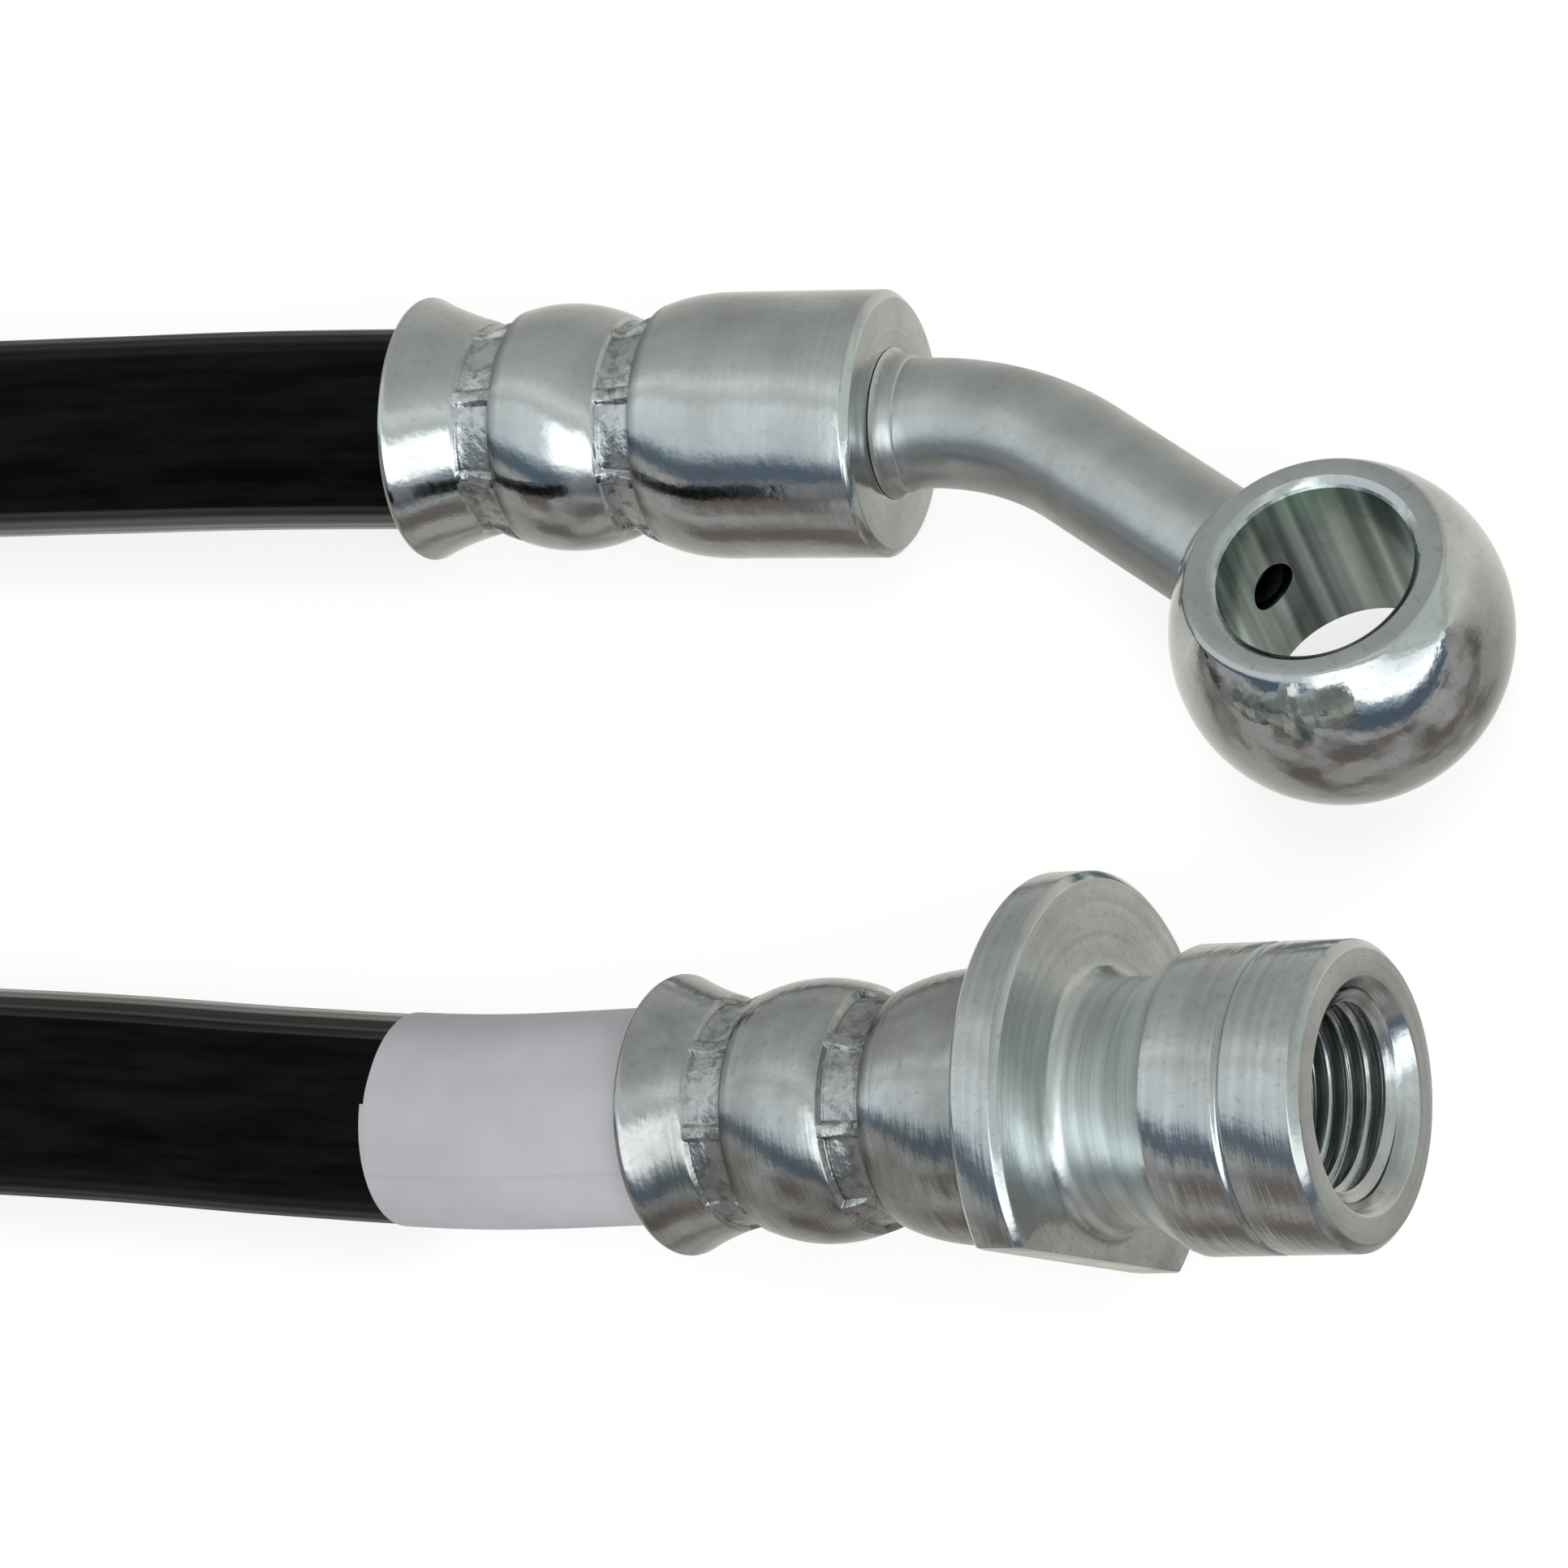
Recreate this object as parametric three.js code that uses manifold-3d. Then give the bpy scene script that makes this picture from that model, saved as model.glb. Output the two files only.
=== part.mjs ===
// Hydraulic brake hose: a reinforced rubber hose with a bent pipe and banjo eye crimped on one end,
// and a flanged fitting with a threaded port crimped on the other.
// Millimetres, +Z up. The hose lies on a flat surface at z = 0, with both ends side by side.
// +X runs along the banjo end, away from the rubber.
import * as THREE from 'three';
import { mergeVertices } from 'three/addons/utils/BufferGeometryUtils.js';
import Module from 'manifold-3d';

// Hose
const HOSE_DIAMETER = 10.5;
const HOSE_BORE = 3.2;
const LINER_WALL = 0.7;
const BRAID_WALL = 0.28;
const MIDDLE_RUBBER_WALL = 0.24;
const PLY_GAP = 0.12;
const HOSE_SIDES = 8;
const HOSE_STEPS = 28;

// Clearance between pieces that fit into each other, on the radius or along the axis
const CLEARANCE = 0.3;

// Label wrapped round the hose beside the female fitting
const LABEL_LENGTH = 15.3;
const LABEL_THICKNESS = 0.2;
const LABEL_SIDES = 24;

// Crimped shell, the same on both ends. Lengths run along the fitting from its mouth.
const SHELL_WALL = 1.1;
const LIP_WALL = 1.35;
const LIP_EDGE = 0.35;
const MOUTH_LENGTH = 1.6;
const MOUTH_TO_NECK = 4.4;
const NECK_SPACING = 7.9;
const NECK_SQUEEZE = 1.2;
const BULGE_SQUEEZE = 0.2;
const NECK_TO_CHAMBER = 1.9;
const HOSE_PAST_NECK = 3.0;
const NECK_TO_SHOULDER = 5.2;
const TURNED_SIDES = 24;
const CURVE_POINTS = 4;

// Insert tube inside the hose bore
const INSERT_BORE = 1.5;
const INSERT_START = 2.5;
const INSERT_HEAD_DIAMETER = 5.5;
const INSERT_HEAD_LENGTH = 4.0;
const INSERT_SIDES = 12;

// Banjo end
const BARREL_WALL = 1.35;
const BARREL_LENGTH = 8.7;
const BARREL_EDGE = 0.4;
const PIPE_DIAMETER = 6.7;
const PIPE_BORE = 3.4;
const PIPE_SEAT_DEPTH = 6.0;
const PIPE_COLLAR_DIAMETER = 7.1;
const PIPE_COLLAR_LENGTH = 1.4;
const PIPE_STRAIGHT = 2.0;
const PIPE_BEND_RADIUS = 16;
const PIPE_BEND_DEGREES = 33.5;
const PIPE_LEG = 18.9;
const PIPE_SIDES = 12;
const PIPE_STEPS = 14;
const EYE_DIAMETER = 17.2;
const EYE_THICKNESS = 11.2;
const EYE_BORE = 10.1;
const EYE_CHAMFER = 0.35;
const EYE_SEAT_WALL = 1.65;
const CROSS_HOLE = 2.6;
const EYE_SIDES = 32;
const EYE_ARC_POINTS = 6;

// Female end
const FEMALE_BARREL_WALL = 1.15;
const NECK_TO_FLANGE = 8.6;
const FLANGE_DIAMETER = 22.2;
const FLANGE_THICKNESS = 2.6;
const FLANGE_EDGE = 0.3;
const FLAT_OFFSET = 7.5;
const FLAT_TURN_DEGREES = 27;
const CLIP_NECK_DIAMETER = 12.0;
const CLIP_NECK_LENGTH = 3.3;
const CLIP_NECK_FILLET = 1.0;
const CONE_LENGTH = 2.2;
const PORT_DIAMETER = 14.8;
const PORT_LENGTH = 8.3;
const PORT_EDGE = 0.4;
const PORT_MARK_FROM_END = 4.2;
const PORT_MARK_WIDTH = 0.4;
const PORT_MARK_DEPTH = 0.15;
const PORT_BORE = 9.1;
const PORT_CHAMFER = 0.75;
const PORT_DEPTH = 11.5;
const SEAT_BASE_DIAMETER = 6.6;
const SEAT_TOP_DIAMETER = 4.0;
const SEAT_HEIGHT = 1.6;
const PASSAGE_DIAMETER = 2.4;

// Where the mouth of the female fitting lies, seen from the mouth of the banjo end
const FEMALE_MOUTH_X = 24.7;
const FEMALE_MOUTH_Y = -42.4;
const FEMALE_YAW_DEGREES = -2.5;
const FEMALE_PITCH_DEGREES = 8.5;

// Route of the hose between the two mouths: x and y from the banjo mouth, and height above lying flat
const ROUTE = [
  [-10, 0, 1.65],
  [-20, 0.1, 1.22],
  [-30, 0.25, 0.85],
  [-39.02, 1.13, 0.5],
  [-47.74, 3.71, 0.25],
  [-57.05, 8.11, 0.1],
  [-69, 15.06, 0.03],
  [-80.57, 20.4, 0],
  [-92.79, 23.3, 0],
  [-105.3, 23.17, 0],
  [-117.34, 19.77, 0],
  [-128.02, 13.2, 0],
  [-136.44, 3.85, 0],
  [-141.84, -7.53, 0],
  [-143.69, -20, 0],
  [-141.84, -32.47, 0],
  [-136.44, -43.85, 0],
  [-128.02, -53.2, 0],
  [-117.34, -59.77, 0],
  [-105.3, -63.17, 0],
  [-92.79, -63.3, 0],
  [-80.57, -60.4, 0],
  [-69, -55.06, 0],
  [-57.05, -48.11, 0],
  [-47.74, -43.71, 0],
  [-39.02, -41.13, 0],
  [-30, -40, 0],
  [-19, -40.1, 0],
  [-8, -40.5, 0.07],
  [3, -41.3, 0.33],
  [14, -42.05, 1],
];

// Sizes that follow from the driving dimensions
const hoseRadius = HOSE_DIAMETER / 2;
const linerRadius = HOSE_BORE / 2 + LINER_WALL;
const innerBraidRadius = linerRadius + PLY_GAP + BRAID_WALL;
const middleRubberRadius = innerBraidRadius + PLY_GAP + MIDDLE_RUBBER_WALL;
const outerBraidRadius = middleRubberRadius + PLY_GAP + BRAID_WALL;
const coverBoreRadius = outerBraidRadius + PLY_GAP;

const neckOne = MOUTH_TO_NECK;
const neckTwo = neckOne + NECK_SPACING;
const bulge = (neckOne + neckTwo) / 2;
const shoulder = neckTwo + NECK_TO_SHOULDER;
const hoseEnd = neckTwo + HOSE_PAST_NECK;
const chamberFloor = hoseEnd + CLEARANCE;
const chamberRadius = hoseRadius + CLEARANCE;
const rimRadius = chamberRadius + LIP_WALL;
const insertBoreRadius = INSERT_HEAD_DIAMETER / 2 + CLEARANCE;

const banjoBarrelRadius = chamberRadius + BARREL_WALL;
const banjoFace = shoulder + BARREL_LENGTH;
const pipeSeat = banjoFace - PIPE_SEAT_DEPTH;
const pipeSeatRadius = PIPE_DIAMETER / 2 + CLEARANCE;
const eyeSeat = EYE_BORE / 2 + EYE_SEAT_WALL;

const femaleBarrelRadius = chamberRadius + FEMALE_BARREL_WALL;
const flangeBack = neckTwo + NECK_TO_FLANGE;
const flangeFront = flangeBack + FLANGE_THICKNESS;
const coneStart = flangeFront + CLIP_NECK_LENGTH;
const portStart = coneStart + CONE_LENGTH;
const portEnd = portStart + PORT_LENGTH;
const femaleInsertEnd = chamberFloor + INSERT_HEAD_LENGTH + CLEARANCE;

// Materials
const rubber = { color: 0x0c0c0d, roughness: 0.55, metalness: 0 };
const innerRubber = { color: 0x1c1c1d, roughness: 0.7, metalness: 0 };
const braid = { color: 0xc9c4b4, roughness: 0.9, metalness: 0 };
const labelFilm = { color: 0xc4c4cf, roughness: 0.6, metalness: 0 };
const zincSteel = { color: 0x9da3a6, roughness: 0.32, metalness: 1 };
const insertSteel = { color: 0x8d9092, roughness: 0.4, metalness: 1 };

const wasm = await Module();
wasm.setup();

function toSolid(geometry) {
  const bare = geometry.clone();
  bare.deleteAttribute('normal');
  bare.deleteAttribute('uv');
  const merged = mergeVertices(bare);
  return new wasm.Manifold(new wasm.Mesh({
    numProp: 3,
    vertProperties: Float32Array.from(merged.attributes.position.array),
    triVerts: Uint32Array.from(merged.index.array),
  }));
}

function toGeometry(solid) {
  const mesh = solid.getMesh();
  const geometry = new THREE.BufferGeometry();
  geometry.setAttribute('position', new THREE.BufferAttribute(mesh.vertProperties, 3));
  geometry.setIndex(new THREE.BufferAttribute(mesh.triVerts, 1));
  geometry.computeVertexNormals();
  return geometry;
}

function cut(geometry, tools) {
  const rest = tools.reduce((solid, tool) => solid.subtract(toSolid(tool)), toSolid(geometry));
  return toGeometry(rest);
}

function piece(name, geometry, look) {
  const mesh = new THREE.Mesh(geometry, new THREE.MeshStandardMaterial(look));
  mesh.name = name;
  return mesh;
}

function mix(a, b, share) {
  return a + (b - a) * share;
}

// A closed outline of (distance along the axis, radius), turned about +X
function turned(outline, sides) {
  const profile = outline.map((point) => new THREE.Vector2(point.y, point.x));
  profile.push(profile[0].clone());
  return new THREE.LatheGeometry(profile, sides).rotateZ(-Math.PI / 2);
}

// A ring section between two radii
function section(outer, inner, sides) {
  const corners = (radius) => Array.from({ length: sides }, (_, index) => {
    const turn = (index / sides) * 2 * Math.PI;
    return new THREE.Vector2(radius * Math.cos(turn), radius * Math.sin(turn));
  });
  const shape = new THREE.Shape(corners(outer));
  shape.holes.push(new THREE.Path(corners(inner)));
  return shape;
}

function swept(shape, extrudePath, steps) {
  return new THREE.ExtrudeGeometry(shape, { extrudePath, steps, bevelEnabled: false });
}

// The pressed surface from the mouth's end to the second neck, at a given height over the rubber
function addCrimp(path, startX, startRadius, lift) {
  const neckRadius = hoseRadius - NECK_SQUEEZE + lift;
  const bulgeRadius = hoseRadius - BULGE_SQUEEZE + lift;
  path.quadraticCurveTo(mix(startX, neckOne, 0.4), mix(neckRadius, startRadius, 0.4), neckOne, neckRadius);
  path.quadraticCurveTo(bulge, 2 * bulgeRadius - neckRadius, neckTwo, neckRadius);
}

// Outside of a crimped shell, from the mouth to where the shoulder reaches the barrel
function shellOutside(barrelRadius) {
  const path = new THREE.Path();
  path.moveTo(0, chamberRadius);
  path.lineTo(0, rimRadius - LIP_EDGE);
  path.lineTo(LIP_EDGE, rimRadius);
  addCrimp(path, LIP_EDGE, rimRadius, CLEARANCE + SHELL_WALL);
  path.quadraticCurveTo(mix(neckTwo, shoulder, 0.4), barrelRadius, shoulder, barrelRadius);
  return path;
}

// Inside of a crimped shell, from the mouth to the floor of the chamber that holds the hose
function shellInside() {
  const path = new THREE.Path();
  path.moveTo(MOUTH_LENGTH, chamberRadius);
  addCrimp(path, MOUTH_LENGTH, chamberRadius, CLEARANCE);
  const chamberStart = neckTwo + NECK_TO_CHAMBER;
  path.quadraticCurveTo(mix(neckTwo, chamberStart, 0.4), chamberRadius, chamberStart, chamberRadius);
  path.lineTo(chamberFloor, chamberRadius);
  path.lineTo(chamberFloor, insertBoreRadius);
  return path;
}

function banjoSocket() {
  const outside = shellOutside(banjoBarrelRadius);
  outside.lineTo(banjoFace - BARREL_EDGE, banjoBarrelRadius);
  outside.lineTo(banjoFace, banjoBarrelRadius - BARREL_EDGE);
  outside.lineTo(banjoFace, pipeSeatRadius);
  outside.lineTo(pipeSeat, pipeSeatRadius);
  outside.lineTo(pipeSeat, insertBoreRadius);
  const inside = shellInside().getPoints(CURVE_POINTS).reverse();
  return turned([...outside.getPoints(CURVE_POINTS), ...inside], TURNED_SIDES);
}

function femaleFitting() {
  const flangeRadius = FLANGE_DIAMETER / 2;
  const neckRadius = CLIP_NECK_DIAMETER / 2;
  const portRadius = PORT_DIAMETER / 2;
  const portBoreRadius = PORT_BORE / 2;
  const portFloor = portEnd - PORT_DEPTH;
  const mark = portEnd - PORT_MARK_FROM_END;
  const outside = shellOutside(femaleBarrelRadius);
  outside.lineTo(flangeBack, femaleBarrelRadius);
  outside.lineTo(flangeBack, flangeRadius - FLANGE_EDGE);
  outside.lineTo(flangeBack + FLANGE_EDGE, flangeRadius);
  outside.lineTo(flangeFront - FLANGE_EDGE, flangeRadius);
  outside.lineTo(flangeFront, flangeRadius - FLANGE_EDGE);
  outside.lineTo(flangeFront, neckRadius + CLIP_NECK_FILLET);
  outside.quadraticCurveTo(flangeFront, neckRadius, flangeFront + CLIP_NECK_FILLET, neckRadius);
  outside.lineTo(coneStart, neckRadius);
  outside.lineTo(portStart, portRadius);
  outside.lineTo(mark - PORT_MARK_WIDTH / 2, portRadius);
  outside.lineTo(mark, portRadius - PORT_MARK_DEPTH);
  outside.lineTo(mark + PORT_MARK_WIDTH / 2, portRadius);
  outside.lineTo(portEnd - PORT_EDGE, portRadius);
  outside.lineTo(portEnd, portRadius - PORT_EDGE);
  outside.lineTo(portEnd, portBoreRadius + PORT_CHAMFER);
  outside.lineTo(portEnd - PORT_CHAMFER, portBoreRadius);
  outside.lineTo(portFloor, portBoreRadius);
  outside.lineTo(portFloor, SEAT_BASE_DIAMETER / 2);
  outside.lineTo(portFloor + SEAT_HEIGHT, SEAT_TOP_DIAMETER / 2);
  outside.lineTo(portFloor + SEAT_HEIGHT, PASSAGE_DIAMETER / 2);
  outside.lineTo(femaleInsertEnd, PASSAGE_DIAMETER / 2);
  outside.lineTo(femaleInsertEnd, insertBoreRadius);
  const inside = shellInside().getPoints(CURVE_POINTS).reverse();
  const body = turned([...outside.getPoints(CURVE_POINTS), ...inside], TURNED_SIDES);
  const chip = new THREE.BoxGeometry(FLANGE_THICKNESS + 2 * CLEARANCE, FLANGE_DIAMETER, FLANGE_DIAMETER);
  chip.translate((flangeBack + flangeFront) / 2, -FLAT_OFFSET - FLANGE_DIAMETER / 2, 0);
  chip.rotateX(THREE.MathUtils.degToRad(FLAT_TURN_DEGREES));
  return cut(body, [chip]);
}

// A thin tube up the hose bore, with a head that fills the bore behind the chamber
function insert(headEnd) {
  const tubeRadius = HOSE_BORE / 2 - CLEARANCE;
  const headStart = chamberFloor + CLEARANCE;
  const outline = new THREE.Path();
  outline.moveTo(INSERT_START, INSERT_BORE / 2);
  outline.lineTo(INSERT_START, tubeRadius);
  outline.lineTo(headStart, tubeRadius);
  outline.lineTo(headStart, INSERT_HEAD_DIAMETER / 2);
  outline.lineTo(headEnd, INSERT_HEAD_DIAMETER / 2);
  outline.lineTo(headEnd, INSERT_BORE / 2);
  return turned(outline.getPoints(), INSERT_SIDES);
}

// Centre line of the pipe: straight out of the barrel, one bend towards -Y, straight into the eye
class PipeLine extends THREE.Curve {
  constructor(start, end) {
    super();
    this.start = start;
    this.end = end;
  }

  getPoint(share, target = new THREE.Vector3()) {
    const angle = THREE.MathUtils.degToRad(PIPE_BEND_DEGREES);
    const bendStart = banjoFace + PIPE_STRAIGHT;
    const bendLength = PIPE_BEND_RADIUS * angle;
    const along = mix(this.start, this.end, share);
    const turn = THREE.MathUtils.clamp((along - bendStart) / PIPE_BEND_RADIUS, 0, angle);
    const before = Math.min(along, bendStart);
    const after = Math.max(along - bendStart - bendLength, 0);
    return target.set(
      before + PIPE_BEND_RADIUS * Math.sin(turn) + after * Math.cos(turn),
      -PIPE_BEND_RADIUS * (1 - Math.cos(turn)) - after * Math.sin(turn),
      0,
    );
  }
}

const bendEnd = banjoFace + PIPE_STRAIGHT + PIPE_BEND_RADIUS * THREE.MathUtils.degToRad(PIPE_BEND_DEGREES);
const eyeCentreLine = bendEnd + PIPE_LEG;

function neckPipe() {
  const line = new PipeLine(pipeSeat + CLEARANCE, eyeCentreLine - eyeSeat - CLEARANCE);
  const tube = swept(section(PIPE_DIAMETER / 2, PIPE_BORE / 2, PIPE_SIDES), line, PIPE_STEPS);
  const collar = new THREE.Path();
  const collarStart = banjoFace - CLEARANCE;
  const collarBore = mix(PIPE_BORE / 2, PIPE_DIAMETER / 2, 0.5);
  collar.moveTo(collarStart, collarBore);
  collar.lineTo(collarStart, PIPE_COLLAR_DIAMETER / 2);
  collar.lineTo(collarStart + PIPE_COLLAR_LENGTH, PIPE_COLLAR_DIAMETER / 2);
  collar.lineTo(collarStart + PIPE_COLLAR_LENGTH, collarBore);
  return toGeometry(toSolid(tube).add(toSolid(turned(collar.getPoints(), TURNED_SIDES))));
}

// Ball with two flat sealing faces, a bore for the banjo bolt, a seat for the pipe and a cross hole
function banjoEye() {
  const radius = EYE_DIAMETER / 2;
  const half = EYE_THICKNESS / 2;
  const bore = EYE_BORE / 2;
  const edge = Math.asin(half / radius);
  const outline = new THREE.Path();
  outline.moveTo(half, bore + EYE_CHAMFER);
  outline.lineTo(half - EYE_CHAMFER, bore);
  outline.lineTo(EYE_CHAMFER - half, bore);
  outline.lineTo(-half, bore + EYE_CHAMFER);
  outline.absarc(0, 0, radius, Math.PI / 2 + edge, Math.PI / 2 - edge, true);
  const ball = turned(outline.getPoints(EYE_ARC_POINTS), EYE_SIDES).rotateY(-Math.PI / 2);
  const seat = new THREE.CylinderGeometry(pipeSeatRadius, pipeSeatRadius, radius, TURNED_SIDES);
  seat.rotateZ(Math.PI / 2).translate(-eyeSeat - radius / 2, 0, 0);
  const crossHole = new THREE.CylinderGeometry(CROSS_HOLE / 2, CROSS_HOLE / 2, radius, INSERT_SIDES);
  crossHole.rotateZ(Math.PI / 2).translate(-bore - radius / 2 + CLEARANCE + EYE_CHAMFER, 0, 0);
  return cut(ball, [seat, crossHole]);
}

// Banjo end, level, with its barrel and rim on the surface
const banjoEnd = new THREE.Group();
banjoEnd.position.z = Math.max(rimRadius, banjoBarrelRadius);
const pipeLine = new PipeLine(0, eyeCentreLine);
const eye = piece('banjo_eye', banjoEye(), zincSteel);
eye.position.copy(pipeLine.getPoint(1));
eye.rotation.z = -THREE.MathUtils.degToRad(PIPE_BEND_DEGREES);
banjoEnd.add(
  piece('banjo_socket', banjoSocket(), zincSteel),
  piece('banjo_insert', insert(pipeSeat - CLEARANCE), insertSteel),
  piece('neck_pipe', neckPipe(), zincSteel),
  eye,
);

// Female end, held up by the edge of its flange
const pitch = THREE.MathUtils.degToRad(FEMALE_PITCH_DEGREES);
const yaw = THREE.MathUtils.degToRad(FEMALE_YAW_DEGREES);
const femaleEnd = new THREE.Group();
const flangeDrop = (FLANGE_DIAMETER / 2) * Math.cos(pitch);
const flangeRise = (flangeBack + FLANGE_EDGE) * Math.sin(pitch);
femaleEnd.position.set(FEMALE_MOUTH_X, FEMALE_MOUTH_Y, flangeDrop - flangeRise);
femaleEnd.rotation.set(0, -pitch, yaw, 'ZYX');
femaleEnd.add(
  piece('female_fitting', femaleFitting(), zincSteel),
  piece('female_insert', insert(femaleInsertEnd - CLEARANCE), insertSteel),
);

banjoEnd.updateMatrixWorld(true);
femaleEnd.updateMatrixWorld(true);

// Centre line of the hose, from its end inside the banjo socket to its end inside the female fitting
const route = new THREE.CatmullRomCurve3([
  banjoEnd.localToWorld(new THREE.Vector3(hoseEnd, 0, 0)),
  banjoEnd.localToWorld(new THREE.Vector3(0, 0, 0)),
  ...ROUTE.map(([x, y, lift]) => new THREE.Vector3(x, y, hoseRadius + lift)),
  femaleEnd.localToWorld(new THREE.Vector3(0, 0, 0)),
  femaleEnd.localToWorld(new THREE.Vector3(hoseEnd, 0, 0)),
]);
route.arcLengthDivisions = 1000;

function ply(outer, inner) {
  return swept(section(outer, inner, HOSE_SIDES), route, HOSE_STEPS);
}

// What a crimped shell squeezes out of the cover, as a ring round the hose
function crimpRing(end) {
  const crimped = new THREE.Path();
  crimped.moveTo(MOUTH_LENGTH - CLEARANCE, rimRadius);
  crimped.lineTo(MOUTH_LENGTH - CLEARANCE, hoseRadius + CLEARANCE);
  crimped.lineTo(MOUTH_LENGTH, hoseRadius);
  addCrimp(crimped, MOUTH_LENGTH, hoseRadius, 0);
  crimped.lineTo(neckTwo + NECK_TO_CHAMBER, hoseRadius + CLEARANCE);
  crimped.lineTo(neckTwo + NECK_TO_CHAMBER, rimRadius);
  return turned(crimped.getPoints(CURVE_POINTS).reverse(), TURNED_SIDES).applyMatrix4(end.matrixWorld);
}

function hoseCover() {
  return cut(ply(hoseRadius, coverBoreRadius), [crimpRing(banjoEnd), crimpRing(femaleEnd)]);
}

// The label covers a short stretch of the hose just outside the female fitting
function labelWrap() {
  const length = route.getLength();
  const near = length - hoseEnd - CLEARANCE;
  const stretch = [0, 1 / 3, 2 / 3, 1].map((share) => route.getPointAt((near - share * LABEL_LENGTH) / length));
  const inner = hoseRadius + CLEARANCE;
  return swept(section(inner + LABEL_THICKNESS, inner, LABEL_SIDES), new THREE.CatmullRomCurve3(stretch), 3);
}

const group = new THREE.Group();
group.add(
  piece('hose_cover', hoseCover(), rubber),
  piece('outer_braid', ply(outerBraidRadius, outerBraidRadius - BRAID_WALL), braid),
  piece('middle_rubber', ply(middleRubberRadius, middleRubberRadius - MIDDLE_RUBBER_WALL), innerRubber),
  piece('inner_braid', ply(innerBraidRadius, innerBraidRadius - BRAID_WALL), braid),
  piece('hose_liner', ply(linerRadius, HOSE_BORE / 2), innerRubber),
  piece('label_wrap', labelWrap(), labelFilm),
  banjoEnd,
  femaleEnd,
);

// The origin is the middle of the two fittings' footprint, on the surface
const footprint = new THREE.Box3();
footprint.expandByObject(banjoEnd, true);
footprint.expandByObject(femaleEnd, true);
const centre = footprint.getCenter(new THREE.Vector3());
group.position.set(-centre.x, -centre.y, -footprint.min.z);

export default group;
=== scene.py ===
"""Brake hose: detailed pieces, procedural finishes and a plain studio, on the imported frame.

Metres, +Z up."""

import math

import bmesh
import bpy
from bpy.props import (
    BoolProperty,
    FloatProperty,
    FloatVectorProperty,
    IntProperty,
    PointerProperty,
)
from mathutils import Euler, Matrix, Vector


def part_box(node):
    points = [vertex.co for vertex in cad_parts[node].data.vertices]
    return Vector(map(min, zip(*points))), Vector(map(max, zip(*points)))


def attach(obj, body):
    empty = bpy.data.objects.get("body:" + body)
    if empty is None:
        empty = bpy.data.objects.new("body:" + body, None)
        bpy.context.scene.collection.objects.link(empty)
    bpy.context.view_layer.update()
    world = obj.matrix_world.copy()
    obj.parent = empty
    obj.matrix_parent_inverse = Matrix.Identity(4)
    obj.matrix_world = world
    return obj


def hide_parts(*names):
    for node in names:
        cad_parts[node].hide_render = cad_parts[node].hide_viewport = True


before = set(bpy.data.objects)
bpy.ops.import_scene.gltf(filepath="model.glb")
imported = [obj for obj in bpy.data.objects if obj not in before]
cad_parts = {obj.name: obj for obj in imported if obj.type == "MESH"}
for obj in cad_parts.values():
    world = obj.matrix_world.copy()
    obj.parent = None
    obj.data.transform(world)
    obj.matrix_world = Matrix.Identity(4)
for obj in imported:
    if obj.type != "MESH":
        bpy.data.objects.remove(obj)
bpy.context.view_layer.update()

bl_info = {
    "name": "Brake Hose",
    "version": (1, 0, 0),
    "blender": (4, 5, 0),
    "location": "View3D > Sidebar > Brake Hose",
    "description": "Builds a hydraulic brake hose with its crimped end fittings",
    "category": "Object",
}

MM = 0.001

# Places along a fitting, from its mouth, and radii, in millimetres, as in the CAD solids
CLEARANCE = 0.3
HOSE_RADIUS = 5.25
COVER_BORE_RADIUS = 3.58
CHAMBER_RADIUS = 5.55
RIM_RADIUS = 6.9
LIP_EDGE = 0.35
MOUTH_LENGTH = 1.6
NECK_ONE = 4.4
NECK_TWO = 12.3
BULGE = (NECK_ONE + NECK_TWO) / 2
NECK_RADIUS = 5.45
BULGE_RADIUS = 6.45
SHELL_WALL = 1.1
CHAMBER_START = NECK_TWO + 1.9
SHOULDER = 17.5
HOSE_END = 15.3
CHAMBER_FLOOR = 15.6
INSERT_BORE_RADIUS = 3.05
INSERT_START = 2.5
INSERT_INNER_RADIUS = 0.75
INSERT_HEAD_RADIUS = 2.75
BARB_RADIUS = 1.3
BARB_ROOT_RADIUS = 1.16
BARB_SPACING = 1.3
LAST_BARB = 14.0
BANJO_BARREL_RADIUS = 6.9
BANJO_FACE = 26.2
PIPE_SEAT = 20.2
PIPE_RADIUS = 3.35
PIPE_WALL = 1.65
PIPE_BEND_START = BANJO_FACE + 2.0
PIPE_BEND_RADIUS = 16.0
PIPE_BEND_DEGREES = 33.5
PIPE_LEG = 18.9
EYE_RADIUS = 8.6
EYE_HALF = 5.6
EYE_BORE_RADIUS = 5.05
EYE_CHAMFER = 0.4
EYE_RING_INNER = 5.56
EYE_RING_OUTER = 6.43
CROSS_HOLE_RADIUS = 1.3
EYE_SEAT = 6.7
EYE_SEAT_RADIUS = 3.42
DRILL_DEPTH = 4.0
FEMALE_BARREL_RADIUS = 6.7
FLANGE_BACK = 20.9
FLANGE_FRONT = 23.5
FLANGE_RADIUS = 11.1
FLAT_OFFSET = 7.5
FLAT_TURN_DEGREES = 27.0
CLIP_NECK_RADIUS = 6.0
CONE_START = 26.8
PORT_START = 29.0
PORT_END = 37.3
PORT_RADIUS = 7.4
PORT_FLOOR = 25.8
PORT_BORE_RADIUS = 4.98
THREAD_ROOT_RADIUS = 5.03
SEAT_HEIGHT = 1.6
PASSAGE_RADIUS = 1.2
FEMALE_INSERT_END = 19.9
FEMALE_PLACE = (24.7, -42.4)
FEMALE_YAW_DEGREES = -2.5
FEMALE_PITCH_DEGREES = 8.5

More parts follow.
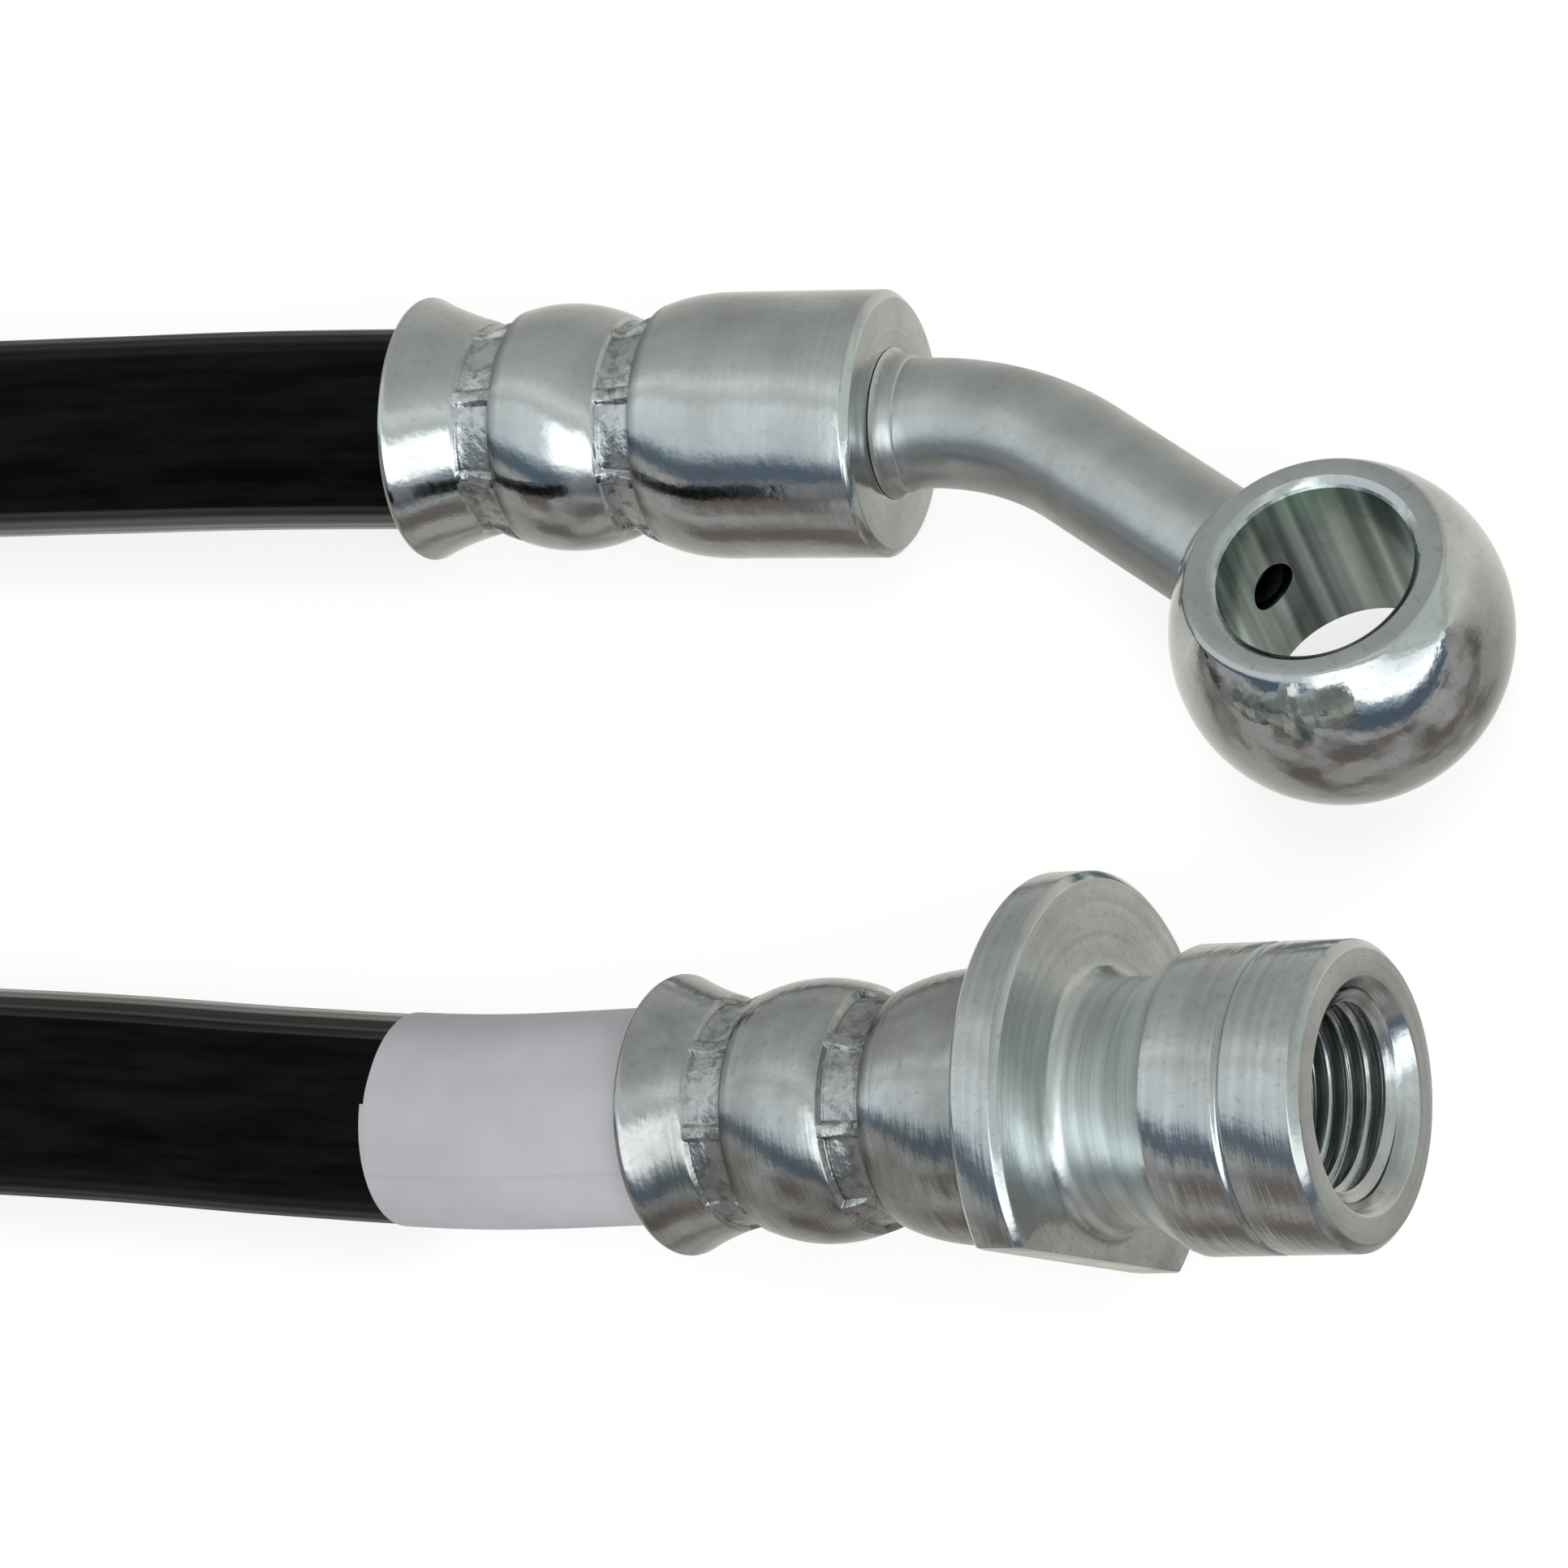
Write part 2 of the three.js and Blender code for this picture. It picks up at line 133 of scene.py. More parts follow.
# Where the marks of the jaws start along each shell, and how far the jaws are turned round it
BANJO_BANDS = (NECK_ONE - 0.65, NECK_TWO - 0.65)
BANJO_JAWS_TURN = 66.0
FEMALE_BANDS = (NECK_ONE - 1.15, NECK_TWO - 1.4)
FEMALE_JAWS_TURN = 88.5

# The metal that stands proud between two jaws, and how much of the neck's own curve stays in a mark
RIDGE_SHARE = 1 / 16
RIDGE_HEIGHT = 0.07
RIDGE_DEGREES = 2.6
CURVE_LEFT = 0.45

# The film label: its seam, its slant, its creases, its gap to the rubber, and how its end
# climbs over its start, in millimetres or radians
LABEL_SEAM_DEGREES = 114
LABEL_SKEW = 0.28
LABEL_RIPPLE = 0.012
LABEL_GAP = 0.01
LABEL_STEP_GAP = 0.03
LABEL_CLIMB_START = 0.35
LABEL_CLIMB = 0.3

# Collar and braze of the pipe, as distances from the barrel's face and radii, and the braze at
# the eye, as distances from where the pipe meets the ball and radii
COLLAR = (
    (0.01, 3.63),
    (0.02, 3.95),
    (0.12, 3.76),
    (0.3, 3.63),
    (0.55, 3.56),
    (0.95, 3.54),
    (1.08, 3.46),
    (1.14, PIPE_RADIUS),
)
BRAZE = (
    (0.42, 3.3),
    (0.42, 3.37),
    (0.2, 3.43),
    (0.02, 3.58),
    (-0.12, 3.85),
    (-0.35, 3.88),
    (-0.5, 3.3),
)

# The groove round the port, and the shares of the thread's pitch that half its crest and half
# its root take
PORT_MARK = 32.88
PORT_MARK_DEPTH = 0.15
CREST_SHARE = 0.07
ROOT_SHARE = 0.47

# How finely the pieces are made. A closer spacing takes the cover past 200,000 triangles.
PLY_SIDES = 48
PLY_SPACING = 2.5
COVER_SPACING = 1.2
LABEL_COLUMNS = 150
LABEL_SPACING = 0.4
PIPE_SIDES = 96
BEND_STEPS = 30
EYE_SIDES = 144
EYE_ARC_STEPS = 40
CROSS_HOLE_SIDES = 48
EYE_SEAT_SIDES = 64
THREAD_SIDES = 96
INSERT_SIDES = 64

# Pale colour of the matt zinc on the clip neck
MATT_ZINC = (0.84, 0.92, 0.9)

# Route of the hose: x and y from the banjo mouth, and height above lying flat, in millimetres
ROUTE = [
    (-10, 0, 1.65),
    (-20, 0.1, 1.22),
    (-30, 0.25, 0.85),
    (-39.02, 1.13, 0.5),
    (-47.74, 3.71, 0.25),
    (-57.05, 8.11, 0.1),
    (-69, 15.06, 0.03),
    (-80.57, 20.4, 0),
    (-92.79, 23.3, 0),
    (-105.3, 23.17, 0),
    (-117.34, 19.77, 0),
    (-128.02, 13.2, 0),
    (-136.44, 3.85, 0),
    (-141.84, -7.53, 0),
    (-143.69, -20, 0),
    (-141.84, -32.47, 0),
    (-136.44, -43.85, 0),
    (-128.02, -53.2, 0),
    (-117.34, -59.77, 0),
    (-105.3, -63.17, 0),
    (-92.79, -63.3, 0),
    (-80.57, -60.4, 0),
    (-69, -55.06, 0),
    (-57.05, -48.11, 0),
    (-47.74, -43.71, 0),
    (-39.02, -41.13, 0),
    (-30, -40, 0),
    (-19, -40.1, 0),
    (-8, -40.5, 0.07),
    (3, -41.3, 0.33),
    (14, -42.05, 1),
]


class HoseSizes(bpy.types.PropertyGroup):
    """Sizes of the rubber hose and its label."""

    diameter: FloatProperty(
        name="Hose diameter",
        description="Outside diameter of the rubber cover",
        default=10.5 * MM,
        unit="LENGTH",
        precision=5,
    )
    free_length: FloatProperty(
        name="Hose length",
        description="Length of the rubber from end to end, inside the fittings too",
        default=0.4012,
        unit="LENGTH",
        precision=4,
    )
    rib_count: IntProperty(
        name="Ribs",
        description="Number of lengthwise ribs round the cover",
        default=36,
        min=8,
    )
    rib_depth: FloatProperty(
        name="Rib depth",
        description="Depth of the grooves between the ribs",
        default=0.03 * MM,
        unit="LENGTH",
        precision=6,
    )
    label_length: FloatProperty(
        name="Label length",
        description="Length of the film label along the hose",
        default=15.3 * MM,
        unit="LENGTH",
        precision=5,
    )
    label_thickness: FloatProperty(
        name="Label thickness",
        description="Thickness of the film",
        default=0.07 * MM,
        unit="LENGTH",
        precision=6,
    )
    label_overlap: FloatProperty(
        name="Label overlap",
        description="How far the end of the film lies over its start",
        default=math.radians(38),
        subtype="ANGLE",
    )


class FittingSizes(bpy.types.PropertyGroup):
    """Sizes of the pressed and turned detail on both end fittings."""

    sides: IntProperty(
        name="Turned sides",
        description="Number of sides of a turned piece",
        default=128,
        min=32,
    )
    jaws: IntProperty(
        name="Jaws",
        description="Number of crimping jaws round a shell",
        default=8,
        min=3,
    )
    jaw_width: FloatProperty(
        name="Jaw width",
        description="Width of the mark that a jaw presses, along the fitting",
        default=2.2 * MM,
        unit="LENGTH",
        precision=5,
    )
    jaw_depth: FloatProperty(
        name="Jaw depth",
        description="How far a jaw mark lies below the narrowest ring of the shell",
        default=0.07 * MM,
        unit="LENGTH",
        precision=6,
    )
    jaw_wall: FloatProperty(
        name="Jaw wall",
        description="Width of the sloped wall round a jaw mark",
        default=0.15 * MM,
        unit="LENGTH",
        precision=6,
    )
    edge_round: FloatProperty(
        name="Edge rounding",
        description="Width of the rounding on sharp edges",
        default=0.07 * MM,
        unit="LENGTH",
        precision=6,
    )
    thread_pitch: FloatProperty(
        name="Thread pitch",
        description="Distance between two turns of the port's thread",
        default=1.0 * MM,
        unit="LENGTH",
        precision=5,
    )
    thread_depth: FloatProperty(
        name="Thread depth",
        description="Height of the port's thread",
        default=0.55 * MM,
        unit="LENGTH",
        precision=6,
    )


class HoseFinishes(bpy.types.PropertyGroup):
    """Colours of the brake hose's materials."""

    rubber: FloatVectorProperty(
        name="Rubber",
        description="Colour of the hose cover",
        default=(0.0022, 0.0022, 0.0023),
        subtype="COLOR",
        min=0,
        max=1,
    )
    inner_rubber: FloatVectorProperty(
        name="Inner rubber",
        description="Colour of the layers inside",
        default=(0.016, 0.016, 0.017),
        subtype="COLOR",
        min=0,
        max=1,
    )
    yarn: FloatVectorProperty(
        name="Yarn",
        description="Colour of the braids",
        default=(0.6, 0.56, 0.46),
        subtype="COLOR",
        min=0,
        max=1,
    )
    label: FloatVectorProperty(
        name="Label",
        description="Colour of the film label",
        default=(0.475, 0.47, 0.505),
        subtype="COLOR",
        min=0,
        max=1,
    )
    zinc: FloatVectorProperty(
        name="Zinc plate",
        description="Colour of the bright plated steel",
        default=(0.62, 0.65, 0.65),
        subtype="COLOR",
        min=0,
        max=1,
    )
    zinc_shade: FloatVectorProperty(
        name="Zinc shade",
        description="Colour of the duller patches in the plating",
        default=(0.5, 0.52, 0.51),
        subtype="COLOR",
        min=0,
        max=1,
    )
    drawn_steel: FloatVectorProperty(
        name="Drawn steel",
        description="Colour of the inserts",
        default=(0.45, 0.46, 0.47),
        subtype="COLOR",
        min=0,
        max=1,
    )


class StudioSettings(bpy.types.PropertyGroup):
    """Camera, lamps and floor."""

    field_of_view: FloatProperty(
        name="Field of view",
        description="Horizontal angle of the camera",
        default=math.radians(10.04),
        subtype="ANGLE",
    )
    window_power: FloatProperty(
        name="Window power",
        description="Power of the large soft lamp in front",
        default=4.6,
        subtype="POWER",
    )
    top_power: FloatProperty(
        name="Top power",
        description="Power of the soft lamp above",
        default=3.0,
        subtype="POWER",
    )
    fill: FloatProperty(
        name="Fill light",
        description="Strength of the even light from all round",
        default=0.46,
        min=0,
    )
    floor: FloatVectorProperty(
        name="Floor",
        description="Colour of the floor",
        default=(0.93, 0.93, 0.93),
        subtype="COLOR",
        min=0,
        max=1,
    )
    show_floor: BoolProperty(
        name="Floor shown",
        description="Lay the part on a plain floor",
        default=True,
    )


def mix(a, b, share):
    """The value that lies that share of the way from a to b."""
    return a + (b - a) * share


def banjo_mouth():
    """Middle of the banjo socket's mouth, from the CAD node's box."""
    low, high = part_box("banjo_socket")
    return Vector((low.x, (low.y + high.y) / 2, (low.z + high.z) / 2))


def banjo_frame():
    """Matrix from the banjo fitting's own axes to the part's."""
    return Matrix.Translation(banjo_mouth())


def female_frame():
    """Matrix from the female fitting's own axes to the part's.

    The fitting stands on the edge of its flange."""
    pitch = math.radians(FEMALE_PITCH_DEGREES)
    yaw = math.radians(FEMALE_YAW_DEGREES)
    height = FLANGE_RADIUS * math.cos(pitch) - (FLANGE_BACK + CLEARANCE) * math.sin(pitch)
    mouth = banjo_mouth()
    x, y = FEMALE_PLACE
    middle = Vector((mouth.x + x * MM, mouth.y + y * MM, height * MM))
    turn = Euler((0, -pitch, yaw), "XYZ").to_matrix().to_4x4()
    return Matrix.Translation(middle) @ turn


def eye_frame():
    """Matrix from the banjo eye's own axes to the part's. +X points away from the pipe."""
    angle = math.radians(PIPE_BEND_DEGREES)
    along = PIPE_BEND_START + PIPE_BEND_RADIUS * math.sin(angle) + PIPE_LEG * math.cos(angle)
    aside = PIPE_BEND_RADIUS * (1 - math.cos(angle)) + PIPE_LEG * math.sin(angle)
    turn = Matrix.Rotation(-angle, 4, "Z")
    return banjo_frame() @ Matrix.Translation((along * MM, -aside * MM, 0)) @ turn


# Steps that the pieces share

def deselect():
    """Leaves edit mode and deselects every object."""
    if bpy.context.object and bpy.context.object.mode != "OBJECT":
        bpy.ops.object.mode_set(mode="OBJECT")
    bpy.ops.object.select_all(action="DESELECT")


def pick(obj):
    """Makes obj the only selected object and the active one."""
    deselect()
    obj.select_set(True)
    bpy.context.view_layer.objects.active = obj


def select_faces(obj, wanted):
    """In edit mode, selects the faces whose centre and normal pass the test."""
    bpy.ops.mesh.select_mode(type="FACE")
    bpy.ops.mesh.select_all(action="DESELECT")
    mesh = bmesh.from_edit_mesh(obj.data)
    for face in mesh.faces:
        if wanted(face.calc_center_median(), face.normal):
            face.select_set(True)
    mesh.select_flush_mode()
    bmesh.update_edit_mesh(obj.data)


def face_outwards(obj):
    """Merges doubled points and points every face outwards."""
    pick(obj)
    bpy.ops.object.mode_set(mode="EDIT")
    bpy.ops.mesh.select_all(action="SELECT")
    bpy.ops.mesh.remove_doubles(threshold=1e-7)
    bpy.ops.mesh.normals_make_consistent(inside=False)
    bpy.ops.object.mode_set(mode="OBJECT")


def turn_outline(name, outline, sides, closed=True):
    """A ring at the outline's first point, extruded and resized from point to point.

    The outline holds (place along +X, radius) in millimetres. If closed, its ends are joined."""
    deselect()
    along, radius = outline[0]
    bpy.ops.mesh.primitive_circle_add(
        vertices=sides,
        radius=radius * MM,
        location=(along * MM, 0, 0),
        rotation=(0, math.pi / 2, 0),
    )
    obj = bpy.context.object
    obj.name = name
    obj.data.name = name
    bpy.ops.object.transform_apply(location=True, rotation=True, scale=True)
    bpy.ops.object.mode_set(mode="EDIT")
    bpy.ops.mesh.select_mode(type="EDGE")
    bpy.ops.mesh.select_all(action="SELECT")
    for next_along, next_radius in outline[1:]:
        step = ((next_along - along) * MM, 0, 0)
        bpy.ops.mesh.extrude_edges_move(TRANSFORM_OT_translate={"value": step})
        if next_radius != radius:
            factor = next_radius / radius
            bpy.ops.transform.resize(
                value=(1, factor, factor),
                center_override=(next_along * MM, 0, 0),
            )
        along, radius = next_along, next_radius
    if closed:
        bpy.ops.mesh.select_all(action="DESELECT")
        bpy.ops.mesh.select_non_manifold()
        bpy.ops.mesh.bridge_edge_loops()
    bpy.ops.object.mode_set(mode="OBJECT")
    face_outwards(obj)
    return obj


def place(obj, matrix):
    """Moves a piece that was made at the origin, and applies its place to its mesh."""
    pick(obj)
    obj.matrix_world = matrix @ obj.matrix_world
    bpy.ops.object.transform_apply(location=True, rotation=True, scale=True)


def round_edges(obj, width, segments=2, degrees=32):
    """A narrow bevel on the sharp edges, then smooth shading between them."""
    pick(obj)
    bevel = obj.modifiers.new("edge_round", "BEVEL")
    bevel.width = width
    bevel.segments = segments
    bevel.limit_method = "ANGLE"
    bevel.angle_limit = math.radians(degrees)
    bevel.use_clamp_overlap = True
    bpy.ops.object.modifier_apply(modifier=bevel.name)
    bpy.ops.object.shade_smooth_by_angle(angle=math.radians(degrees))


def thicken(obj, name, thickness, offset):
    """Gives an open sheet a wall."""
    pick(obj)
    wall = obj.modifiers.new(name, "SOLIDIFY")
    wall.thickness = thickness
    wall.offset = offset
    bpy.ops.object.modifier_apply(modifier=wall.name)


def mesh_object(name, mesh):
    """An object of its own for a bmesh, which is freed."""
    data = bpy.data.meshes.new(name)
    mesh.to_mesh(data)
    mesh.free()
    obj = bpy.data.objects.new(name, data)
    bpy.context.collection.objects.link(obj)
    return obj


def cut_with(obj, tool):
    """Cuts the tool out of obj and removes the tool."""
    pick(obj)
    boolean = obj.modifiers.new("cut", "BOOLEAN")
    boolean.operation = "DIFFERENCE"
    boolean.solver = "EXACT"
    boolean.object = tool
    bpy.ops.object.modifier_apply(modifier=boolean.name)
    deselect()
    tool.select_set(True)
    bpy.context.view_layer.objects.active = tool
    bpy.ops.object.delete()


def drill(obj, radius, along, sides):
    """Drills a short hole along X into obj, with its middle at a place on the X axis."""
    deselect()
    bpy.ops.mesh.primitive_cylinder_add(
        vertices=sides,
        radius=radius * MM,
        depth=DRILL_DEPTH * MM,
        location=(along * MM, 0, 0),
        rotation=(0, math.pi / 2, 0),
    )
    cut_with(obj, bpy.context.object)


def join(obj, *others):
    """Joins the others into obj."""
    pick(obj)
    for other in others:
        other.select_set(True)
    bpy.context.view_layer.objects.active = obj
    bpy.ops.object.join()


def finish_piece(obj, material, slot, *nodes):
    """Gives a piece its material and body, and hides the CAD nodes that it stands for. The slot is
    not used.
    """
    obj.data.materials.clear()
    obj.data.materials.append(material)
    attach(obj, "root")
    if nodes:
        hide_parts(*nodes)


# Crimped shells

def curve_radius(along, start, control, end):
    """Radius of a quadratic curve at a place along the axis."""
    bend = start[0] - 2 * control[0] + end[0]
    slope = 2 * (control[0] - start[0])
    rest = start[0] - along
    if abs(bend) < 1e-9:
        share = -rest / slope
    else:
        share = (-slope + math.sqrt(max(slope * slope - 4 * bend * rest, 0))) / (2 * bend)
    share = min(max(share, 0), 1)
    return (
        (1 - share) ** 2 * start[1]
        + 2 * share * (1 - share) * control[1]
        + share * share * end[1]
    )


def crimp_radius(along, start_along, start_radius, lift, end_along, end_radius):
    """Radius of the pressed surface at a place between the mouth and the shoulder."""
    neck = NECK_RADIUS - SHELL_WALL + lift
    bulge = BULGE_RADIUS - SHELL_WALL + lift
    if along <= NECK_ONE:
        control = (mix(start_along, NECK_ONE, 0.4), mix(neck, start_radius, 0.4))
        return curve_radius(along, (start_along, start_radius), control, (NECK_ONE, neck))
    if along <= NECK_TWO:
        control = (BULGE, 2 * bulge - neck)
        return curve_radius(along, (NECK_ONE, neck), control, (NECK_TWO, neck))
    control = (mix(NECK_TWO, end_along, 0.4), end_radius)
    return curve_radius(along, (NECK_TWO, neck), control, (end_along, end_radius))


def shell_outside(barrel_radius, bands):
    """Outline of a shell's outer surface from the lip to the shoulder.

    It has a ring at every edge of a jaw band, and no other ring close to one."""
    count = 64
    before, after = 0.12, 0.3
    places = {round(mix(LIP_EDGE, SHOULDER, index / count), 4) for index in range(count + 1)}
    for low, high in bands:
        places = {p for p in places if not low - before < p < low + after}
        places = {p for p in places if not high - after < p < high + before}
        places.update((low, high))
    lip = [(0, CHAMBER_RADIUS), (0, RIM_RADIUS - LIP_EDGE), (0.1, RIM_RADIUS - 0.1)]
    rings = [
        (p, crimp_radius(p, LIP_EDGE, RIM_RADIUS, SHELL_WALL, SHOULDER, barrel_radius))
        for p in sorted(places)
    ]
    return lip + rings


def shell_inside():
    """Outline of a shell's inner surface from the mouth to the floor of its chamber."""
    rings = [(MOUTH_LENGTH, CHAMBER_RADIUS)]
    count = 28
    ends = (MOUTH_LENGTH, CHAMBER_RADIUS, 0, CHAMBER_START, CHAMBER_RADIUS)
    for index in range(1, count + 1):
        p = mix(MOUTH_LENGTH, CHAMBER_START, index / count)
        rings.append((p, crimp_radius(p, *ends)))
    return rings + [(CHAMBER_FLOOR, CHAMBER_RADIUS), (CHAMBER_FLOOR, INSERT_BORE_RADIUS)]


def jaw_bands(starts, sizes):
    """Where the jaws press a shell, as the start and end of each band along it, in millimetres."""
    return [(start, start + sizes.jaw_width / MM) for start in starts]


def press_jaws(obj, bands, turn_degrees, sizes):
    """Presses one mark for each jaw into each band of a shell.

    The metal between two jaws stands a little proud."""
    step = 2 * math.pi / sizes.jaws
    ridge = step * RIDGE_SHARE
    turn = math.radians(turn_degrees)
    hollow = (NECK_RADIUS - 0.5) * MM

    def in_mark(centre, low, high):
        radius = math.hypot(centre.y, centre.z)
        if not low * MM < centre.x < high * MM or radius < hollow:
            return False
        angle = (math.atan2(centre.z, centre.y) - turn) % step
        return ridge < angle < step - ridge

    def set_radius(vertex, radius):
        factor = radius / math.hypot(vertex.co.y, vertex.co.z)
        vertex.co.y *= factor
        vertex.co.z *= factor

    pick(obj)
    bpy.ops.object.mode_set(mode="EDIT")
    for low, high in bands:
        select_faces(obj, lambda centre, normal: in_mark(centre, low, high))
        bpy.ops.mesh.inset(
            thickness=sizes.jaw_wall,
            depth=0,
            use_boundary=True,
            use_even_offset=True,
        )
        mesh = bmesh.from_edit_mesh(obj.data)
        for vertex in {v for face in mesh.faces if face.select for v in face.verts}:
            radius = math.hypot(vertex.co.y, vertex.co.z)
            set_radius(vertex, mix(NECK_RADIUS * MM, radius, CURVE_LEFT) - sizes.jaw_depth)
        for vertex in mesh.verts:
            radius = math.hypot(vertex.co.y, vertex.co.z)
            across = (vertex.co.x / MM - low) / (high - low)
            if not 0 < across < 1 or radius < hollow:
                continue
            angle = math.atan2(vertex.co.z, vertex.co.y) - turn
            angle = (angle + step / 2) % step - step / 2
            if abs(angle) < 1.5 * ridge:
                proud = math.exp(-((angle / math.radians(RIDGE_DEGREES)) ** 2))
                set_radius(vertex, radius + RIDGE_HEIGHT * MM * proud * math.sin(math.pi * across))
        bmesh.update_edit_mesh(obj.data)
    bpy.ops.object.mode_set(mode="OBJECT")


# Hose

def smooth_line(points, count):
    """Points on a centripetal curve through the given points, as the CAD solids follow it."""
    line = []
    last = len(points) - 1
    for index in range(last):
        before = points[index - 1] if index else 2 * points[0] - points[1]
        start, end = points[index], points[index + 1]
        after = points[index + 2] if index + 2 <= last else 2 * points[last] - points[last - 1]
        first = math.sqrt((start - before).length)
        middle = math.sqrt((end - start).length)
        final = math.sqrt((after - end).length)
        straight = (end - start) / middle
        leave = (start - before) / first - (end - before) / (first + middle) + straight
        leave *= middle
        arrive = straight - (after - start) / (middle + final) + (after - end) / final
        arrive *= middle
        for step in range(count):
            t = step / count
            line.append(
                start
                + leave * t
                + (3 * (end - start) - 2 * leave - arrive) * t * t
                + (2 * (start - end) + leave + arrive) * t * t * t
            )
    line.append(points[last])
    return line


def hose_points():
    """The points that the hose's centre line goes through."""
    mouth = banjo_mouth()
    banjo = banjo_frame()
    female = female_frame()
    points = [banjo @ Vector((HOSE_END * MM, 0, 0)), banjo @ Vector((0, 0, 0))]
    for x, y, lift in ROUTE:
        height = (HOSE_RADIUS + lift) * MM
        points.append(Vector((mouth.x + x * MM, mouth.y + y * MM, height)))
    points += [female @ Vector((0, 0, 0)), female @ Vector((HOSE_END * MM, 0, 0))]
    return points


def even_line(points, spacing):
    """Evenly spaced points, each with its distance from the start, and the line's length."""
    fine = smooth_line(points, 40)
    lengths = [0.0]
    for a, b in zip(fine, fine[1:]):
        lengths.append(lengths[-1] + (b - a).length)
    count = max(2, round(lengths[-1] / spacing))
    line = []
    index = 0
    for step in range(count + 1):
        want = lengths[-1] * step / count
        while index < len(fine) - 2 and lengths[index + 1] < want:
            index += 1
        share = (want - lengths[index]) / (lengths[index + 1] - lengths[index])
        line.append((fine[index].lerp(fine[index + 1], share), want))
    return line, lengths[-1]


def cross_axes(line):
    """For each point of a line, the two directions across it: level, and upwards."""
    axes = []
    for index in range(len(line)):
        ahead = line[min(index + 1, len(line) - 1)][0] - line[max(index - 1, 0)][0]
        level = Vector((0, 0, 1)).cross(ahead).normalized()
        axes.append((level, ahead.cross(level).normalized()))
    return axes


def sweep(name, line, sides, outer, inner):
    """A closed tube along a line. outer and inner give the radius at a distance and an angle."""
    rings = []
    mesh = bmesh.new()
    for (point, distance), (level, upward) in zip(line, cross_axes(line)):
        ring = []
        for radius in (outer, inner):
            loop = []
            for side in range(sides):
                angle = 2 * math.pi * side / sides
                out = level * math.cos(angle) + upward * math.sin(angle)
                loop.append(mesh.verts.new(point + out * radius(distance, side)))
            ring.append(loop)
        rings.append(ring)
    uv = mesh.loops.layers.uv.new("along_hose")
    last = line[-1][1]

    def face(corners, places):
        made = mesh.faces.new(corners)
        made.smooth = True
        for loop, (u, v) in zip(made.loops, places):
            loop[uv].uv = (u, v)

    for index in range(len(rings) - 1):
        v0, v1 = line[index][1] / last, line[index + 1][1] / last
        for side in range(sides):
            after = (side + 1) % sides
            u0, u1 = side / sides, (side + 1) / sides
            (a, ai), (b, bi) = rings[index], rings[index + 1]
            places = ((u0, v0), (u1, v0), (u1, v1), (u0, v1))
            face((a[side], a[after], b[after], b[side]), places)
            places = ((u1, v0), (u0, v0), (u0, v1), (u1, v1))
            face((ai[after], ai[side], bi[side], bi[after]), places)
    for (loop, hollow), flip, v in ((rings[0], True, 0), (rings[-1], False, 1)):
        for side in range(sides):
            after = (side + 1) % sides
            corners = (loop[side], loop[after], hollow[after], hollow[side])
            face(tuple(reversed(corners)) if flip else corners, ((0, v),) * 4)
    bmesh.ops.recalc_face_normals(mesh, faces=mesh.faces)
    return mesh_object(name, mesh)


def crimped_radius(from_mouth):
    """Radius of the cover at a depth inside a shell's mouth."""
    if from_mouth <= MOUTH_LENGTH:
        return HOSE_RADIUS
    ends = (MOUTH_LENGTH, HOSE_RADIUS, -CLEARANCE, CHAMBER_START, HOSE_RADIUS)
    return min(HOSE_RADIUS, crimp_radius(min(from_mouth, CHAMBER_START), *ends))


# Materials

FLOAT = "NodeSocketFloat"
VECTOR = "NodeSocketVector"


